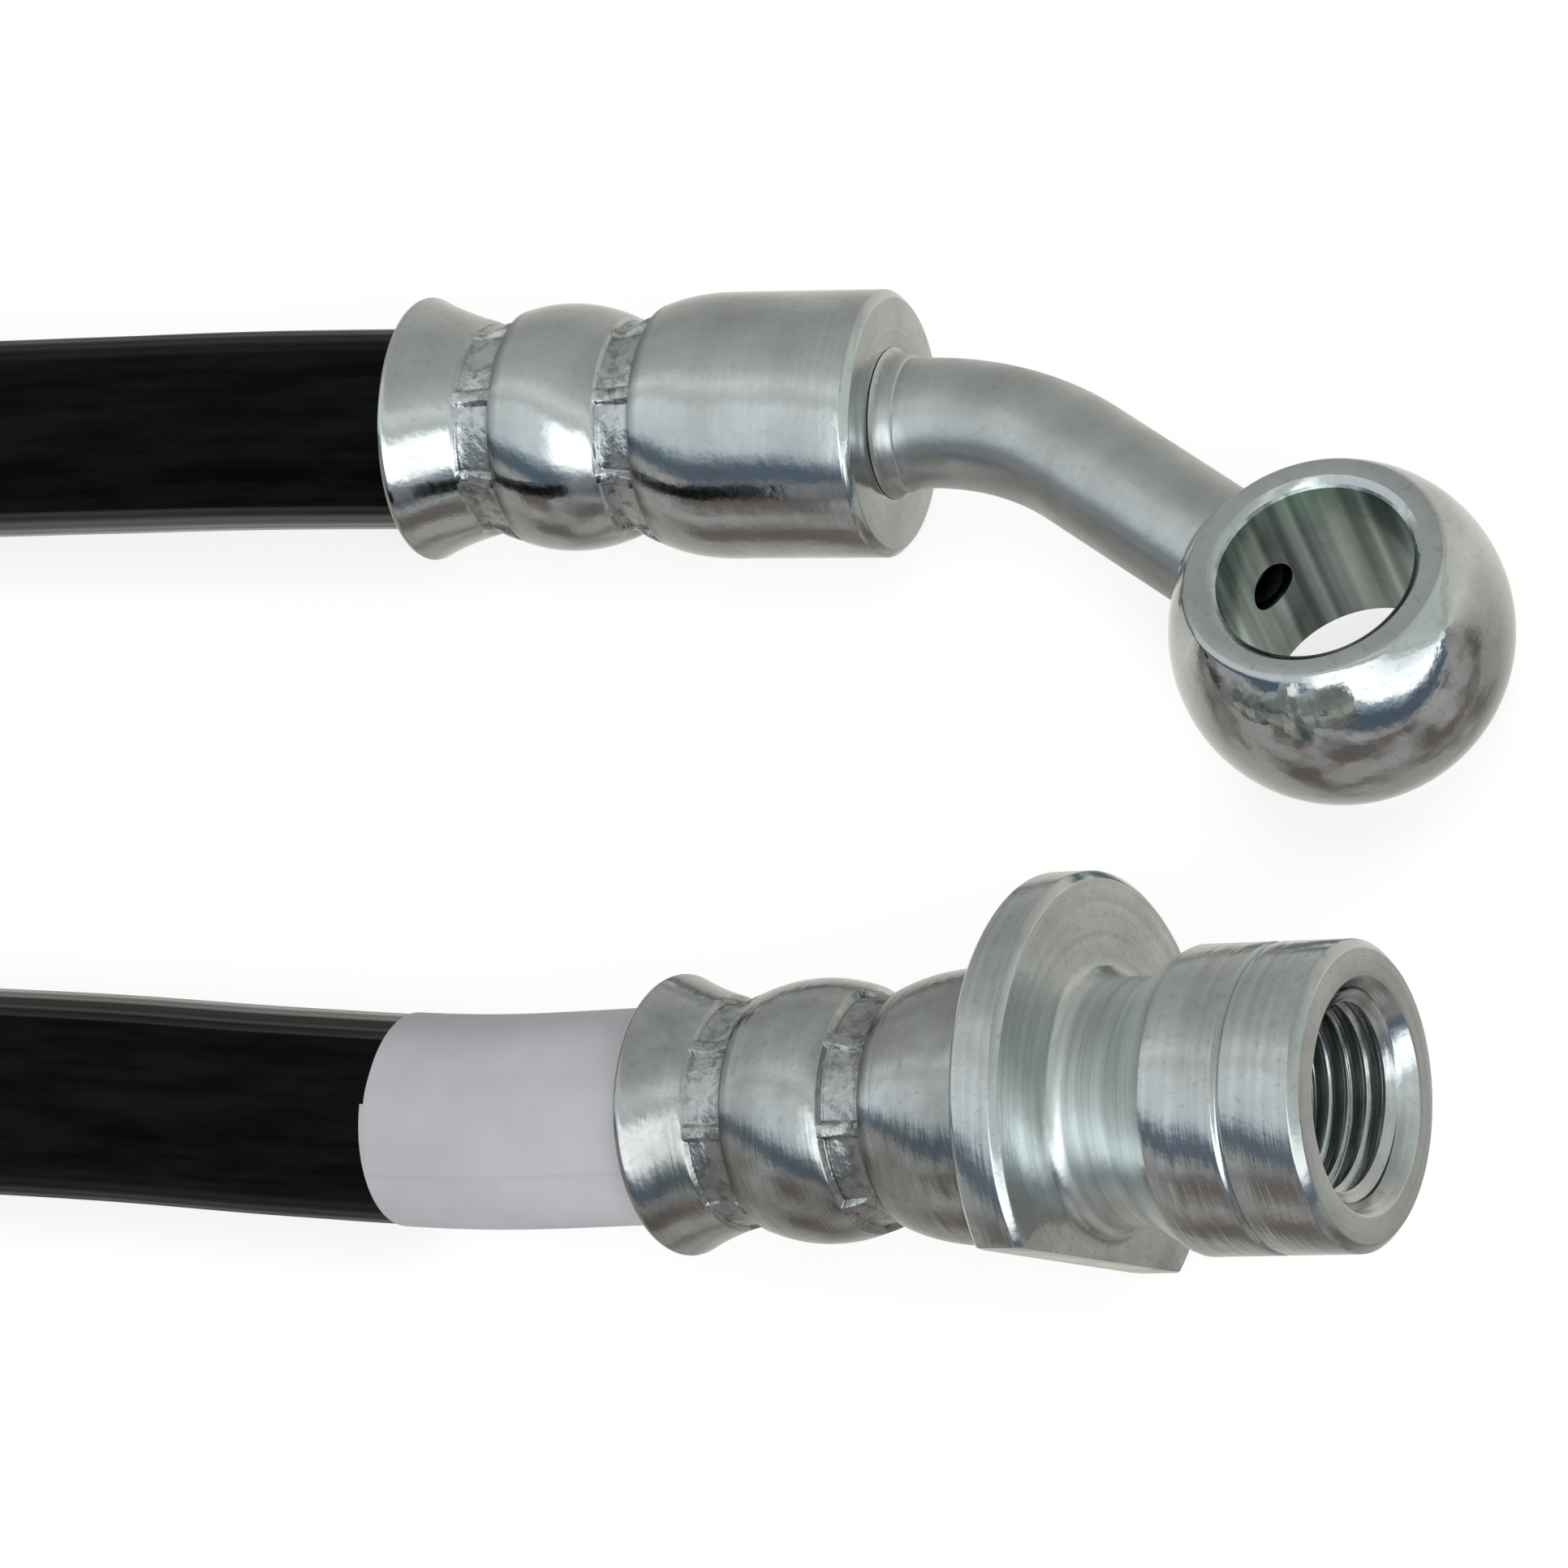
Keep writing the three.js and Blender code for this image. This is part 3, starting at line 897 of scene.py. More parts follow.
class NodeMaker:
    """Adds and links nodes in one tree."""

    def __init__(self, tree):
        self.tree = tree
        self.column = 0

    def add(self, kind, settings=None, inputs=None):
        """A node with its settings, and its inputs set to values or linked to sockets."""
        node = self.tree.nodes.new(kind)
        self.column += 1
        node.location = (self.column * 190, -(self.column % 4) * 170)
        for key, value in (settings or {}).items():
            setattr(node, key, value)
        for key, value in (inputs or {}).items():
            self.give(node.inputs[key], value)
        return node

    def give(self, socket, value):
        """Links an input socket to an output, or sets it to a plain value."""
        if isinstance(value, bpy.types.NodeSocket):
            self.tree.links.new(value, socket)
        else:
            socket.default_value = value

    def math(self, operation, first, second=0.0, third=0.0):
        """The output of a Math node."""
        inputs = {0: first, 1: second, 2: third}
        return self.add("ShaderNodeMath", {"operation": operation}, inputs).outputs[0]

    def times(self, first, second):
        """Two values multiplied."""
        return self.math("MULTIPLY", first, second)

    def plus(self, first, second):
        """Two values added."""
        return self.math("ADD", first, second)

    def spread(self, value, low, high, to_low, to_high):
        """The output of a Map Range node."""
        inputs = {
            "Value": value,
            "From Min": low,
            "From Max": high,
            "To Min": to_low,
            "To Max": to_high,
        }
        return self.add("ShaderNodeMapRange", {}, inputs).outputs["Result"]

    def away(self, value, middle):
        """How far a value lies from a middle, on either side."""
        return self.math("ABSOLUTE", self.math("SUBTRACT", value, middle))

    def within(self, value, low, high, soft):
        """1 from low to high, with a soft fall to 0 at both ends. All in millimetres."""
        half = (high - low) / 2
        distance = self.away(value, (low + high) / 2 * MM)
        return self.spread(distance, half * MM, (half - soft) * MM, 0, 1)

    def blend(self, factor, first, second):
        """The output of a colour Mix node."""
        node = self.add("ShaderNodeMix", {"data_type": "RGBA"})
        for index, value in ((0, factor), (6, first), (7, second)):
            self.give(node.inputs[index], value)
        return node.outputs[2]

    def parts(self, vector):
        """The X, Y and Z of a vector."""
        return self.add("ShaderNodeSeparateXYZ", {}, {0: vector}).outputs

    def across(self, vector):
        """A vector without its X, and its distance from the X axis."""
        flat = {0: vector, 1: (0, 1, 1)}
        flat = self.add("ShaderNodeVectorMath", {"operation": "MULTIPLY"}, flat).outputs[0]
        length = self.add("ShaderNodeVectorMath", {"operation": "LENGTH"}, {0: flat})
        return flat, length.outputs["Value"]

    def noise(self, vector, scale, detail, roughness=0.5):
        """The height of a Noise Texture."""
        inputs = {"Vector": vector, "Scale": scale, "Detail": detail, "Roughness": roughness}
        return self.add("ShaderNodeTexNoise", {}, inputs).outputs[0]

    def effect(self, tree, inputs):
        """The outputs of a node group, placed with its own values."""
        return self.add("ShaderNodeGroup", {"node_tree": tree}, inputs).outputs

    def here(self, output="Object"):
        """An output of the Texture Coordinate node."""
        return self.add("ShaderNodeTexCoord").outputs[output]

    def along_hose(self):
        """The UV map that sweep gives: X goes round the hose and Y along it."""
        return self.add("ShaderNodeUVMap", {"uv_map": "along_hose"}).outputs[0]


def new_effect(name, inputs, outputs):
    """A new shader node group, as its maker, its inputs and its outputs to fill."""
    tree = bpy.data.node_groups.new(name, "ShaderNodeTree")
    for socket, kind, default in inputs:
        made = tree.interface.new_socket(socket, in_out="INPUT", socket_type=kind)
        if default is not None:
            made.default_value = default
    for socket in outputs:
        tree.interface.new_socket(socket, in_out="OUTPUT", socket_type=FLOAT)
    given = tree.nodes.new("NodeGroupInput")
    given.location = (-200, 0)
    result = tree.nodes.new("NodeGroupOutput")
    return NodeMaker(tree), given.outputs, result.inputs


def turning_marks():
    """Fine rings that a lathe leaves on cylinders and faces, as height and mask.

    X runs along the axis."""
    if "turning_marks" in bpy.data.node_groups:
        return bpy.data.node_groups["turning_marks"]
    maker, given, result = new_effect(
        "turning_marks",
        [("Vector", VECTOR, None), ("Rings", FLOAT, 3200.0), ("Waver", FLOAT, 60.0)],
        ["Height", "Mask"],
    )
    along = maker.parts(given["Vector"])
    flat, radius = maker.across(given["Vector"])
    turns = {
        0: maker.times(maker.plus(along[0], radius), given["Rings"]),
        1: maker.times(along[1], given["Waver"]),
        2: maker.times(along[2], given["Waver"]),
    }
    lines = maker.noise(maker.add("ShaderNodeCombineXYZ", {}, turns).outputs[0], 1.0, 3.0, 0.6)
    maker.give(result["Height"], lines)
    maker.give(result["Mask"], maker.spread(lines, 0.35, 0.7, 0, 1))
    return maker.tree


def bore_streaks_and_shade():
    """Streaks along a bore, partly broach marks and partly painted reflections. Inside is 1 within
    the radius round the X axis, the hollow that gets painted shade.

    Streaks changes only round the bore."""
    if "bore_streaks_and_shade" in bpy.data.node_groups:
        return bpy.data.node_groups["bore_streaks_and_shade"]
    maker, given, result = new_effect(
        "bore_streaks_and_shade",
        [("Vector", VECTOR, None), ("Radius", FLOAT, 0.005), ("Scale", FLOAT, 420.0)],
        ["Inside", "Streaks"],
    )
    flat, radius = maker.across(given["Vector"])
    maker.give(result["Inside"], maker.math("LESS_THAN", radius, given["Radius"]))
    lines = maker.noise(flat, given["Scale"], 3.0, 0.65)
    maker.give(result["Streaks"], maker.spread(lines, 0.38, 0.58, 0, 1))
    return maker.tree


def plating_cloud():
    """Slow changes and dull specks in the plating, as masks, and dents and pits, as heights."""
    if "plating_cloud" in bpy.data.node_groups:
        return bpy.data.node_groups["plating_cloud"]
    maker, given, result = new_effect(
        "plating_cloud",
        [("Vector", VECTOR, None), ("Cloud Scale", FLOAT, 260.0), ("Pit Scale", FLOAT, 2200.0)],
        ["Cloud", "Specks", "Dents", "Height"],
    )
    cloud = maker.noise(given["Vector"], given["Cloud Scale"], 4.0, 0.55)
    maker.give(result["Cloud"], maker.spread(cloud, 0.35, 0.68, 0, 1))
    pits = maker.noise(given["Vector"], given["Pit Scale"], 3.0, 0.7)
    maker.give(result["Specks"], maker.spread(pits, 0.56, 0.68, 0, 1))
    maker.give(result["Height"], pits)
    dents = maker.noise(given["Vector"], maker.times(given["Pit Scale"], 0.6), 2.0)
    maker.give(result["Dents"], dents)
    return maker.tree


def rubber_grain():
    """The matt skin of extruded rubber, drawn out along the hose, as height and dust mask."""
    if "rubber_grain" in bpy.data.node_groups:
        return bpy.data.node_groups["rubber_grain"]
    maker, given, result = new_effect(
        "rubber_grain",
        [("Vector", VECTOR, None), ("Around", FLOAT, 260.0), ("Along", FLOAT, 500.0)],
        ["Height", "Dust"],
    )
    parts = maker.parts(given["Vector"])
    skin = {
        0: maker.times(parts[0], given["Around"]),
        1: maker.times(parts[1], given["Along"]),
        2: 0.0,
    }
    skin = maker.add("ShaderNodeCombineXYZ", {}, skin).outputs[0]
    maker.give(result["Height"], maker.noise(skin, 1.0, 3.0, 0.6))
    slow = maker.noise(skin, 0.12, 4.0, 0.6)
    maker.give(result["Dust"], maker.spread(slow, 0.4, 0.62, 0, 1))
    return maker.tree


def yarn_weave():
    """Two sets of yarns that cross over and under, as height and as a mask of their gaps."""
    if "yarn_weave" in bpy.data.node_groups:
        return bpy.data.node_groups["yarn_weave"]
    maker, given, result = new_effect(
        "yarn_weave",
        [("Vector", VECTOR, None), ("Around", FLOAT, 12.0), ("Along", FLOAT, 220.0)],
        ["Height", "Gaps"],
    )
    parts = maker.parts(given["Vector"])
    around = maker.times(parts[0], given["Around"])
    along = maker.times(parts[1], given["Along"])
    left = maker.math("SINE", maker.times(maker.plus(around, along), math.tau))
    right = maker.math("SINE", maker.times(maker.math("SUBTRACT", around, along), math.tau))
    height = maker.math("MAXIMUM", left, right)
    maker.give(result["Height"], maker.spread(height, -1, 1, 0, 1))
    maker.give(result["Gaps"], maker.spread(height, -0.6, 0.1, 1, 0))
    return maker.tree


def new_material(name):
    """A material with nodes, and its maker and shader."""
    material = bpy.data.materials.new(name)
    material.use_nodes = True
    shader = next(n for n in material.node_tree.nodes if n.type == "BSDF_PRINCIPLED")
    shader.location = (2400, 0)
    return material, NodeMaker(material.node_tree), shader


def bump(maker, shader, height, distance, strength=1.0, normal=None):
    """A Bump node on the shader's normal."""
    inputs = {"Height": height, "Distance": distance, "Strength": strength}
    if normal is not None:
        inputs["Normal"] = normal
    made = maker.add("ShaderNodeBump", {}, inputs).outputs[0]
    maker.give(shader.inputs["Normal"], made)
    return made


def rgba(colour):
    """A colour with full alpha."""
    return (*colour, 1.0)


def scaled(colour, factor):
    """A colour times a factor, or times three factors, with full alpha."""
    factors = factor if isinstance(factor, tuple) else (factor,) * 3
    return rgba([c * k for c, k in zip(colour, factors)])


def zinc_material(
    name,
    matrix,
    finishes,
    rough=(0.09, 0.22),
    ring_depth=0.0025,
    rings=3200.0,
    turned_from=0.0,
    bands=(),
    bore=0.0,
    tone=1.0,
    stains=0.16,
    marks=0.25,
    corners=0.85,
    aged=0.0,
    matt=None,
):
    """Bright zinc plate on turned steel, with painted shade in its hollow corners.

    The matrix gives the axes of the fitting, whose X is its turning axis. The tool marks are
    strong past turned_from, the bands are rough from the jaws and carry a painted shade line at
    their far ends, and inside the bore radius the steel is darkened with painted shade, with dark
    and pale streaks along the axis that are partly broach marks and partly painted reflections.
    Aged dulls what lies before turned_from, matt is the stretch of the axis with a pale matt
    finish, and corners is how dark the painted shade in the hollow corners gets."""
    if name in bpy.data.materials:
        return bpy.data.materials[name]
    material, maker, shader = new_material(name)
    inverse = matrix.inverted()
    mapping = {
        "Vector": maker.here(),
        "Location": inverse.to_translation(),
        "Rotation": inverse.to_euler("XYZ"),
    }
    own = maker.add("ShaderNodeMapping", {"vector_type": "POINT"}, mapping).outputs[0]
    along = maker.parts(own)[0]
    cloud = maker.effect(plating_cloud(), {"Vector": own})
    turning = maker.effect(turning_marks(), {"Vector": own, "Rings": rings})

    # Clouds, specks and tool marks in the plating, dirt on the shell, and painted shade in the
    # hollow corners
    stain = scaled(finishes.zinc_shade, 0.5 * tone)
    # Near-black colour for painted shade in the corners and at the band ends, and for wear on the
    # crushed bands
    wear_and_painted_shade = scaled(finishes.zinc_shade, 0.18)
    zinc, shade = scaled(finishes.zinc, tone), scaled(finishes.zinc_shade, tone)
    colour = maker.blend(cloud["Cloud"], zinc, shade)
    colour = maker.blend(maker.times(cloud["Specks"], stains), colour, stain)
    step = ((turned_from - 0.2) * MM, (turned_from + 0.2) * MM)
    turned = maker.spread(along, *step, 0.3 * marks, marks)
    colour = maker.blend(maker.times(turning["Mask"], turned), colour, stain)
    if aged:
        before = maker.spread(along, *step, aged, 0)
        before = maker.times(before, maker.plus(cloud["Cloud"], 0.4))
        colour = maker.blend(before, colour, scaled(zinc[:3], (0.42, 0.4, 0.37)))
    # Painted shade: hollow corners and thread valleys are darkened by pointiness, as though shade
    # fell there
    pointed = maker.add("ShaderNodeNewGeometry").outputs["Pointiness"]
    colour = maker.blend(maker.spread(pointed, 0.42, 0.495, corners, 0), colour, wear_and_painted_shade)
    dull = maker.times(cloud["Cloud"], 0.5)
    dull = maker.plus(dull, maker.times(turning["Mask"], 0.3))
    dull = maker.plus(dull, maker.times(cloud["Specks"], 0.2))
    roughness = maker.spread(dull, 0, 1, *rough)

    if matt:
        pale = maker.within(along, *matt, 0.5)
        paler = maker.times(pale, maker.spread(turning["Mask"], 0, 1, 0.9, 0.35))
        colour = maker.blend(paler, colour, rgba(MATT_ZINC))
        roughness = maker.plus(roughness, maker.times(pale, 0.2))

    # Bands that the jaws pressed, each with a painted shade line at its far end, where the mark
    # steps up to the bulge
    pressed = None
    for low, high in bands:
        # Painted shade: a dark line along the far end of each band, where the mark's wall meets the
        # bulge
        line = maker.spread(maker.away(along, (high + 0.1) * MM), 0.0, 0.55 * MM, 1, 0)
        colour = maker.blend(maker.times(line, 0.6), colour, wear_and_painted_shade)
        band = maker.within(along, low, high, 0.25)
        pressed = band if pressed is None else maker.plus(pressed, band)
    if bands:
        crushed = maker.noise(own, 1600.0, 3.0)
        worn = maker.times(pressed, maker.spread(crushed, 0.5, 0.64, 0, 0.42))
        colour = maker.blend(worn, colour, wear_and_painted_shade)
        roughness = maker.plus(roughness, maker.times(pressed, 0.13))

    # Painted shade: the bore is darkened as though in shadow, with dark and pale streaks along the
    # axis that are partly broach marks and partly painted reflections
    if bore:
        streaks = maker.effect(bore_streaks_and_shade(), {"Vector": own, "Radius": bore})
        dark = scaled(finishes.zinc_shade, (0.36, 0.43, 0.41))
        pale = scaled(finishes.zinc_shade, (1.2, 1.38, 1.32))
        inside = maker.blend(streaks["Streaks"], dark, pale)
        colour = maker.blend(streaks["Inside"], colour, inside)
        roughness = maker.plus(roughness, maker.times(streaks["Inside"], 0.18))

    maker.give(shader.inputs["Base Color"], colour)
    maker.give(shader.inputs["Roughness"], roughness)
    maker.give(shader.inputs["Metallic"], 1.0)
    uneven = bump(maker, shader, cloud["Dents"], 0.02 * MM, 0.8)
    pits = cloud["Height"]
    if bands:
        pits = maker.times(pits, maker.plus(1.0, maker.times(pressed, 4.0)))
        uneven = bump(maker, shader, maker.times(crushed, pressed), 0.15 * MM, 0.9, uneven)
    pitted = bump(maker, shader, pits, 0.006 * MM, 0.5, uneven)
    bump(maker, shader, turning["Height"], ring_depth * MM, 1.0, pitted)
    return material


def rubber_material(finishes):
    """Black extruded rubber, with a grazing sheen on the inner sides of the loop."""
    name = "ribbed_black_rubber"
    if name in bpy.data.materials:
        return bpy.data.materials[name]
    material, maker, shader = new_material(name)
    grain = maker.effect(rubber_grain(), {"Vector": maker.along_hose()})
    dusty = rgba([min(1, 1.8 * c + 0.0015) for c in finishes.rubber])
    colour = maker.blend(grain["Dust"], rgba(finishes.rubber), dusty)
    maker.give(shader.inputs["Base Color"], colour)
    maker.give(shader.inputs["Roughness"], maker.spread(grain["Dust"], 0, 1, 0.24, 0.36))
    maker.give(shader.inputs["Specular IOR Level"], 0.03)
    place_y = maker.parts(maker.here())[1]
    facing_y = maker.parts(maker.here("Normal"))[1]
    inwards = maker.times(maker.times(place_y, -60.0), facing_y)
    slant = maker.add("ShaderNodeLayerWeight", {}, {"Blend": 0.5}).outputs["Facing"]
    edge = maker.spread(slant, 0.42, 0.5, 0, 1)
    edge = maker.times(edge, maker.spread(inwards, -0.1, 0.2, 0.06, 1))
    maker.give(shader.inputs["Coat Weight"], edge)
    maker.give(shader.inputs["Coat Roughness"], 0.25)
    maker.give(shader.inputs["Coat IOR"], 1.8)
    bump(maker, shader, grain["Height"], 0.012 * MM, 0.5)
    return material


def inner_rubber_material(finishes):
    """Plain black rubber of the layers inside."""
    name = "plain_inner_rubber"
    if name in bpy.data.materials:
        return bpy.data.materials[name]
    material, maker, shader = new_material(name)
    inputs = {"Vector": maker.along_hose(), "Around": 90.0, "Along": 900.0}
    grain = maker.effect(rubber_grain(), inputs)
    bloom = scaled(finishes.inner_rubber, 1.9)
    colour = maker.blend(grain["Dust"], rgba(finishes.inner_rubber), bloom)
    maker.give(shader.inputs["Base Color"], colour)
    maker.give(shader.inputs["Roughness"], maker.spread(grain["Height"], 0.3, 0.7, 0.6, 0.75))
    bump(maker, shader, grain["Height"], 0.02 * MM, 0.5)
    return material


def yarn_material(finishes):
    """Undyed braided yarn."""
    name = "braided_yarn"
    if name in bpy.data.materials:
        return bpy.data.materials[name]
    material, maker, shader = new_material(name)
    weave = maker.effect(yarn_weave(), {"Vector": maker.along_hose()})
    colour = maker.blend(weave["Gaps"], rgba(finishes.yarn), scaled(finishes.yarn, 0.3))
    maker.give(shader.inputs["Base Color"], colour)
    maker.give(shader.inputs["Roughness"], maker.spread(weave["Height"], 0, 1, 0.95, 0.8))
    bump(maker, shader, weave["Height"], 0.1 * MM, 0.8)
    return material


def label_material(finishes):
    """Matt film with slight creases and handling marks."""
    name = "matt_label_film"
    if name in bpy.data.materials:
        return bpy.data.materials[name]
    material, maker, shader = new_material(name)
    inputs = {"Vector": maker.here(), "Cloud Scale": 150.0, "Pit Scale": 1500.0}
    cloud = maker.effect(plating_cloud(), inputs)
    marks = scaled(finishes.label, (0.86, 0.87, 0.86))
    colour = maker.blend(cloud["Cloud"], rgba(finishes.label), marks)
    maker.give(shader.inputs["Base Color"], colour)
    maker.give(shader.inputs["Roughness"], maker.spread(cloud["Specks"], 0, 1, 0.5, 0.62))
    bump(maker, shader, cloud["Height"], 0.02 * MM, 0.5)
    return material


def insert_material(finishes):
    """Plain drawn steel with lengthwise draw lines."""
    name = "drawn_steel"
    if name in bpy.data.materials:
        return bpy.data.materials[name]
    material, maker, shader = new_material(name)
    mapping = {"Vector": maker.here(), "Scale": (0.05, 1, 1)}
    drawn = maker.add("ShaderNodeMapping", {}, mapping).outputs[0]
    inputs = {"Vector": drawn, "Cloud Scale": 900.0, "Pit Scale": 5000.0}
    cloud = maker.effect(plating_cloud(), inputs)
    shade = scaled(finishes.drawn_steel, 0.75)
    colour = maker.blend(cloud["Cloud"], rgba(finishes.drawn_steel), shade)
    maker.give(shader.inputs["Base Color"], colour)
    maker.give(shader.inputs["Roughness"], maker.spread(cloud["Cloud"], 0, 1, 0.32, 0.48))
    maker.give(shader.inputs["Metallic"], 1.0)
    bump(maker, shader, cloud["Height"], 0.006 * MM, 0.6)
    return material


# Studio

CAMERA_PLACE = (0.16039, -0.22930, 0.35231)
CAMERA_RIGHT = (0.92807702, 0.21032741, -0.30730347)
CAMERA_UP = (-0.00412175, 0.83097457, 0.55629513)
CAMERA_BACK = (0.37236548, -0.5150181, 0.77207533)

# What metal mirrors: an angle round the X axis from the horizon in front (0) over the top (90) to
# the horizon behind (180), or under the part (-90), and the colour there
ROOM = (
    (-180, (0.52, 0.51, 0.48)),
    (-140, (0.85, 0.83, 0.78)),
    (-122, (0.66, 0.64, 0.59)),
    (-108, (0.52, 0.51, 0.48)),
    (-92, (0.44, 0.43, 0.41)),
    (-72, (0.4, 0.38, 0.36)),
    (-46, (0.44, 0.425, 0.415)),
    (-15, (0.5, 0.495, 0.49)),
    (-8, (0.12, 0.15, 0.19)),
    (5, (0.11, 0.15, 0.2)),
    (11, (0.32, 0.38, 0.44)),
    (19, (0.74, 0.8, 0.84)),
    (56, (0.82, 0.86, 0.87)),
    (64, (0.62, 0.65, 0.65)),
    (76, (0.84, 0.87, 0.87)),
    (90, (0.56, 0.57, 0.56)),
    (110, (0.45, 0.46, 0.45)),
    (150, (0.39, 0.40, 0.39)),
    (180, (0.52, 0.51, 0.48)),
)
HORIZON_TILT = 0.6
GROUND_BLOTCHES = (0.18, 0.155, 0.145)
WINDOW = (1.9, 1.95, 2.0)
SIDE_WALL = (0.72, 0.8, 0.78)
FLOOR_SEEN = (0.44, 0.44, 0.44)
FLOOR_GLOW = 0.72

# Soft lamps: direction, distance, width, height and colour, and the point that they are aimed at
WINDOW_LAMP = ((0.34, -0.74, 0.6), 0.9, 0.85, 0.34, (1.0, 1.0, 1.0))
TOP_LAMP = ((-0.1, 0.25, 1.0), 1.1, 0.9, 0.9, (1.0, 0.99, 0.97))
LAMP_TARGET = (0, 0, 0.008)


def aim(obj, place_at, target):
    """Places a lamp and points it at the target."""
    obj.location = place_at
    obj.rotation_euler = (Vector(target) - Vector(place_at)).to_track_quat("-Z", "Y").to_euler()


def add_lamp(name, power, direction, distance, width, height, colour):
    """A rectangular soft lamp in the given direction from the part."""
    deselect()
    bpy.ops.object.light_add(type="AREA")
    lamp = bpy.context.object
    lamp.name = name
    lamp.data.shape = "RECTANGLE"
    lamp.data.size = width
    lamp.data.size_y = height
    lamp.data.energy = power
    lamp.data.color = colour
    lamp.visible_glossy = False
    aim(lamp, Vector(direction).normalized() * distance, LAMP_TARGET)


def studio_world(settings):
    """White to the camera, even light on the part, and a room for what the metal mirrors.

    The room has a bright ceiling, a window, a pale side wall, a dark strip along the horizon and
    a blotchy ground."""
    world = bpy.data.worlds.new("studio")
    bpy.context.scene.world = world
    world.use_nodes = True
    tree = world.node_tree
    tree.nodes.clear()
    maker = NodeMaker(tree)
    path = maker.add("ShaderNodeLightPath").outputs
    direction = maker.here("Generated")
    parts = maker.parts(direction)
    angle = maker.math("ARCTAN2", parts[2], maker.times(parts[1], -1.0))
    angle = maker.plus(angle, maker.times(parts[0], HORIZON_TILT))
    angle = maker.math("WRAP", angle, math.pi, -math.pi)

    def rise(low, high, before=0, after=1):
        """A change between two angles, given in degrees."""
        return maker.spread(angle, math.radians(low), math.radians(high), before, after)

    node = maker.add("ShaderNodeValToRGB", {}, {0: rise(-180, 180)})
    ramp = node.color_ramp
    while len(ramp.elements) < len(ROOM):
        ramp.elements.new(0.5)
    for element, (at, colour) in zip(ramp.elements, ROOM):
        element.position = (at + 180) / 360
        element.color = rgba(colour)
    blotches = maker.spread(maker.noise(direction, 2.6, 2.0), 0.42, 0.6, 0, 1)
    blotches = maker.times(blotches, maker.times(rise(-14, -20), rise(-105, -85)))
    room = maker.blend(blotches, node.outputs[0], rgba(GROUND_BLOTCHES))
    window = maker.times(rise(14, 20), rise(52, 60, 1, 0))
    window = maker.times(window, maker.spread(parts[0], -0.22, 0.02, 0, 1))
    room = maker.blend(window, room, rgba(WINDOW))
    side_wall = maker.times(maker.spread(parts[0], 0.5, 0.8, 0, 0.7), rise(30, 60))
    room = maker.blend(side_wall, room, rgba(SIDE_WALL))
    mirrored = maker.math("MAXIMUM", path["Is Glossy Ray"], path["Is Transmission Ray"])
    unseen = maker.blend(mirrored, rgba((settings.fill,) * 3), room)
    colour = maker.blend(path["Is Camera Ray"], unseen, rgba((1, 1, 1)))
    background = maker.add("ShaderNodeBackground", {}, {"Color": colour, "Strength": 1.0})
    out = maker.add("ShaderNodeOutputWorld")
    maker.give(out.inputs["Surface"], background.outputs[0])


def floor_material(settings):
    """Pale matt floor. To the camera it glows a little, so that only the soft shadow shows."""
    material, maker, shader = new_material("pale_floor")
    path = maker.add("ShaderNodeLightPath").outputs
    inputs = {"Vector": maker.here(), "Cloud Scale": 9.0, "Pit Scale": 700.0}
    cloud = maker.effect(plating_cloud(), inputs)
    paper = maker.blend(cloud["Cloud"], rgba(settings.floor), scaled(settings.floor, 0.99))
    seen = maker.blend(path["Is Camera Ray"], paper, rgba(FLOOR_SEEN))
    maker.give(shader.inputs["Base Color"], seen)
    maker.give(shader.inputs["Roughness"], 0.9)
    maker.give(shader.inputs["Specular IOR Level"], 0.1)
    maker.give(shader.inputs["Emission Color"], (1, 1, 1, 1))
    glow = maker.times(path["Is Camera Ray"], FLOOR_GLOW)
    maker.give(shader.inputs["Emission Strength"], glow)
    return material


# Operators

class BRAKEHOSE_OT_studio(bpy.types.Operator):
    """Set up the camera, the lamps, the background and the floor"""

    bl_idname = "brakehose.studio"
    bl_label = "Studio"

    def execute(self, context):
        settings = context.scene.hose_studio
        deselect()
        bpy.ops.object.camera_add()
        camera = context.object
        camera.name = "photo_camera"
        camera.data.sensor_fit = "HORIZONTAL"
        camera.data.angle = settings.field_of_view
        camera.data.clip_start = 0.01
        camera.data.clip_end = 20
        turn = Matrix((CAMERA_RIGHT, CAMERA_UP, CAMERA_BACK)).transposed().to_4x4()
        camera.matrix_world = Matrix.Translation(CAMERA_PLACE) @ turn
        context.scene.camera = camera

        add_lamp("window", settings.window_power, *WINDOW_LAMP)
        add_lamp("top", settings.top_power, *TOP_LAMP)
        studio_world(settings)
        if settings.show_floor:
            deselect()
            bpy.ops.mesh.primitive_plane_add(size=3, location=(0, 0, 0))
            floor = context.object
            floor.name = "floor"
            bpy.ops.object.mode_set(mode="EDIT")
            bpy.ops.mesh.subdivide(number_cuts=3)
            bpy.ops.object.mode_set(mode="OBJECT")
            floor.data.materials.append(floor_material(settings))
            floor.visible_glossy = False
        context.scene.view_settings.view_transform = "Standard"
        return {"FINISHED"}


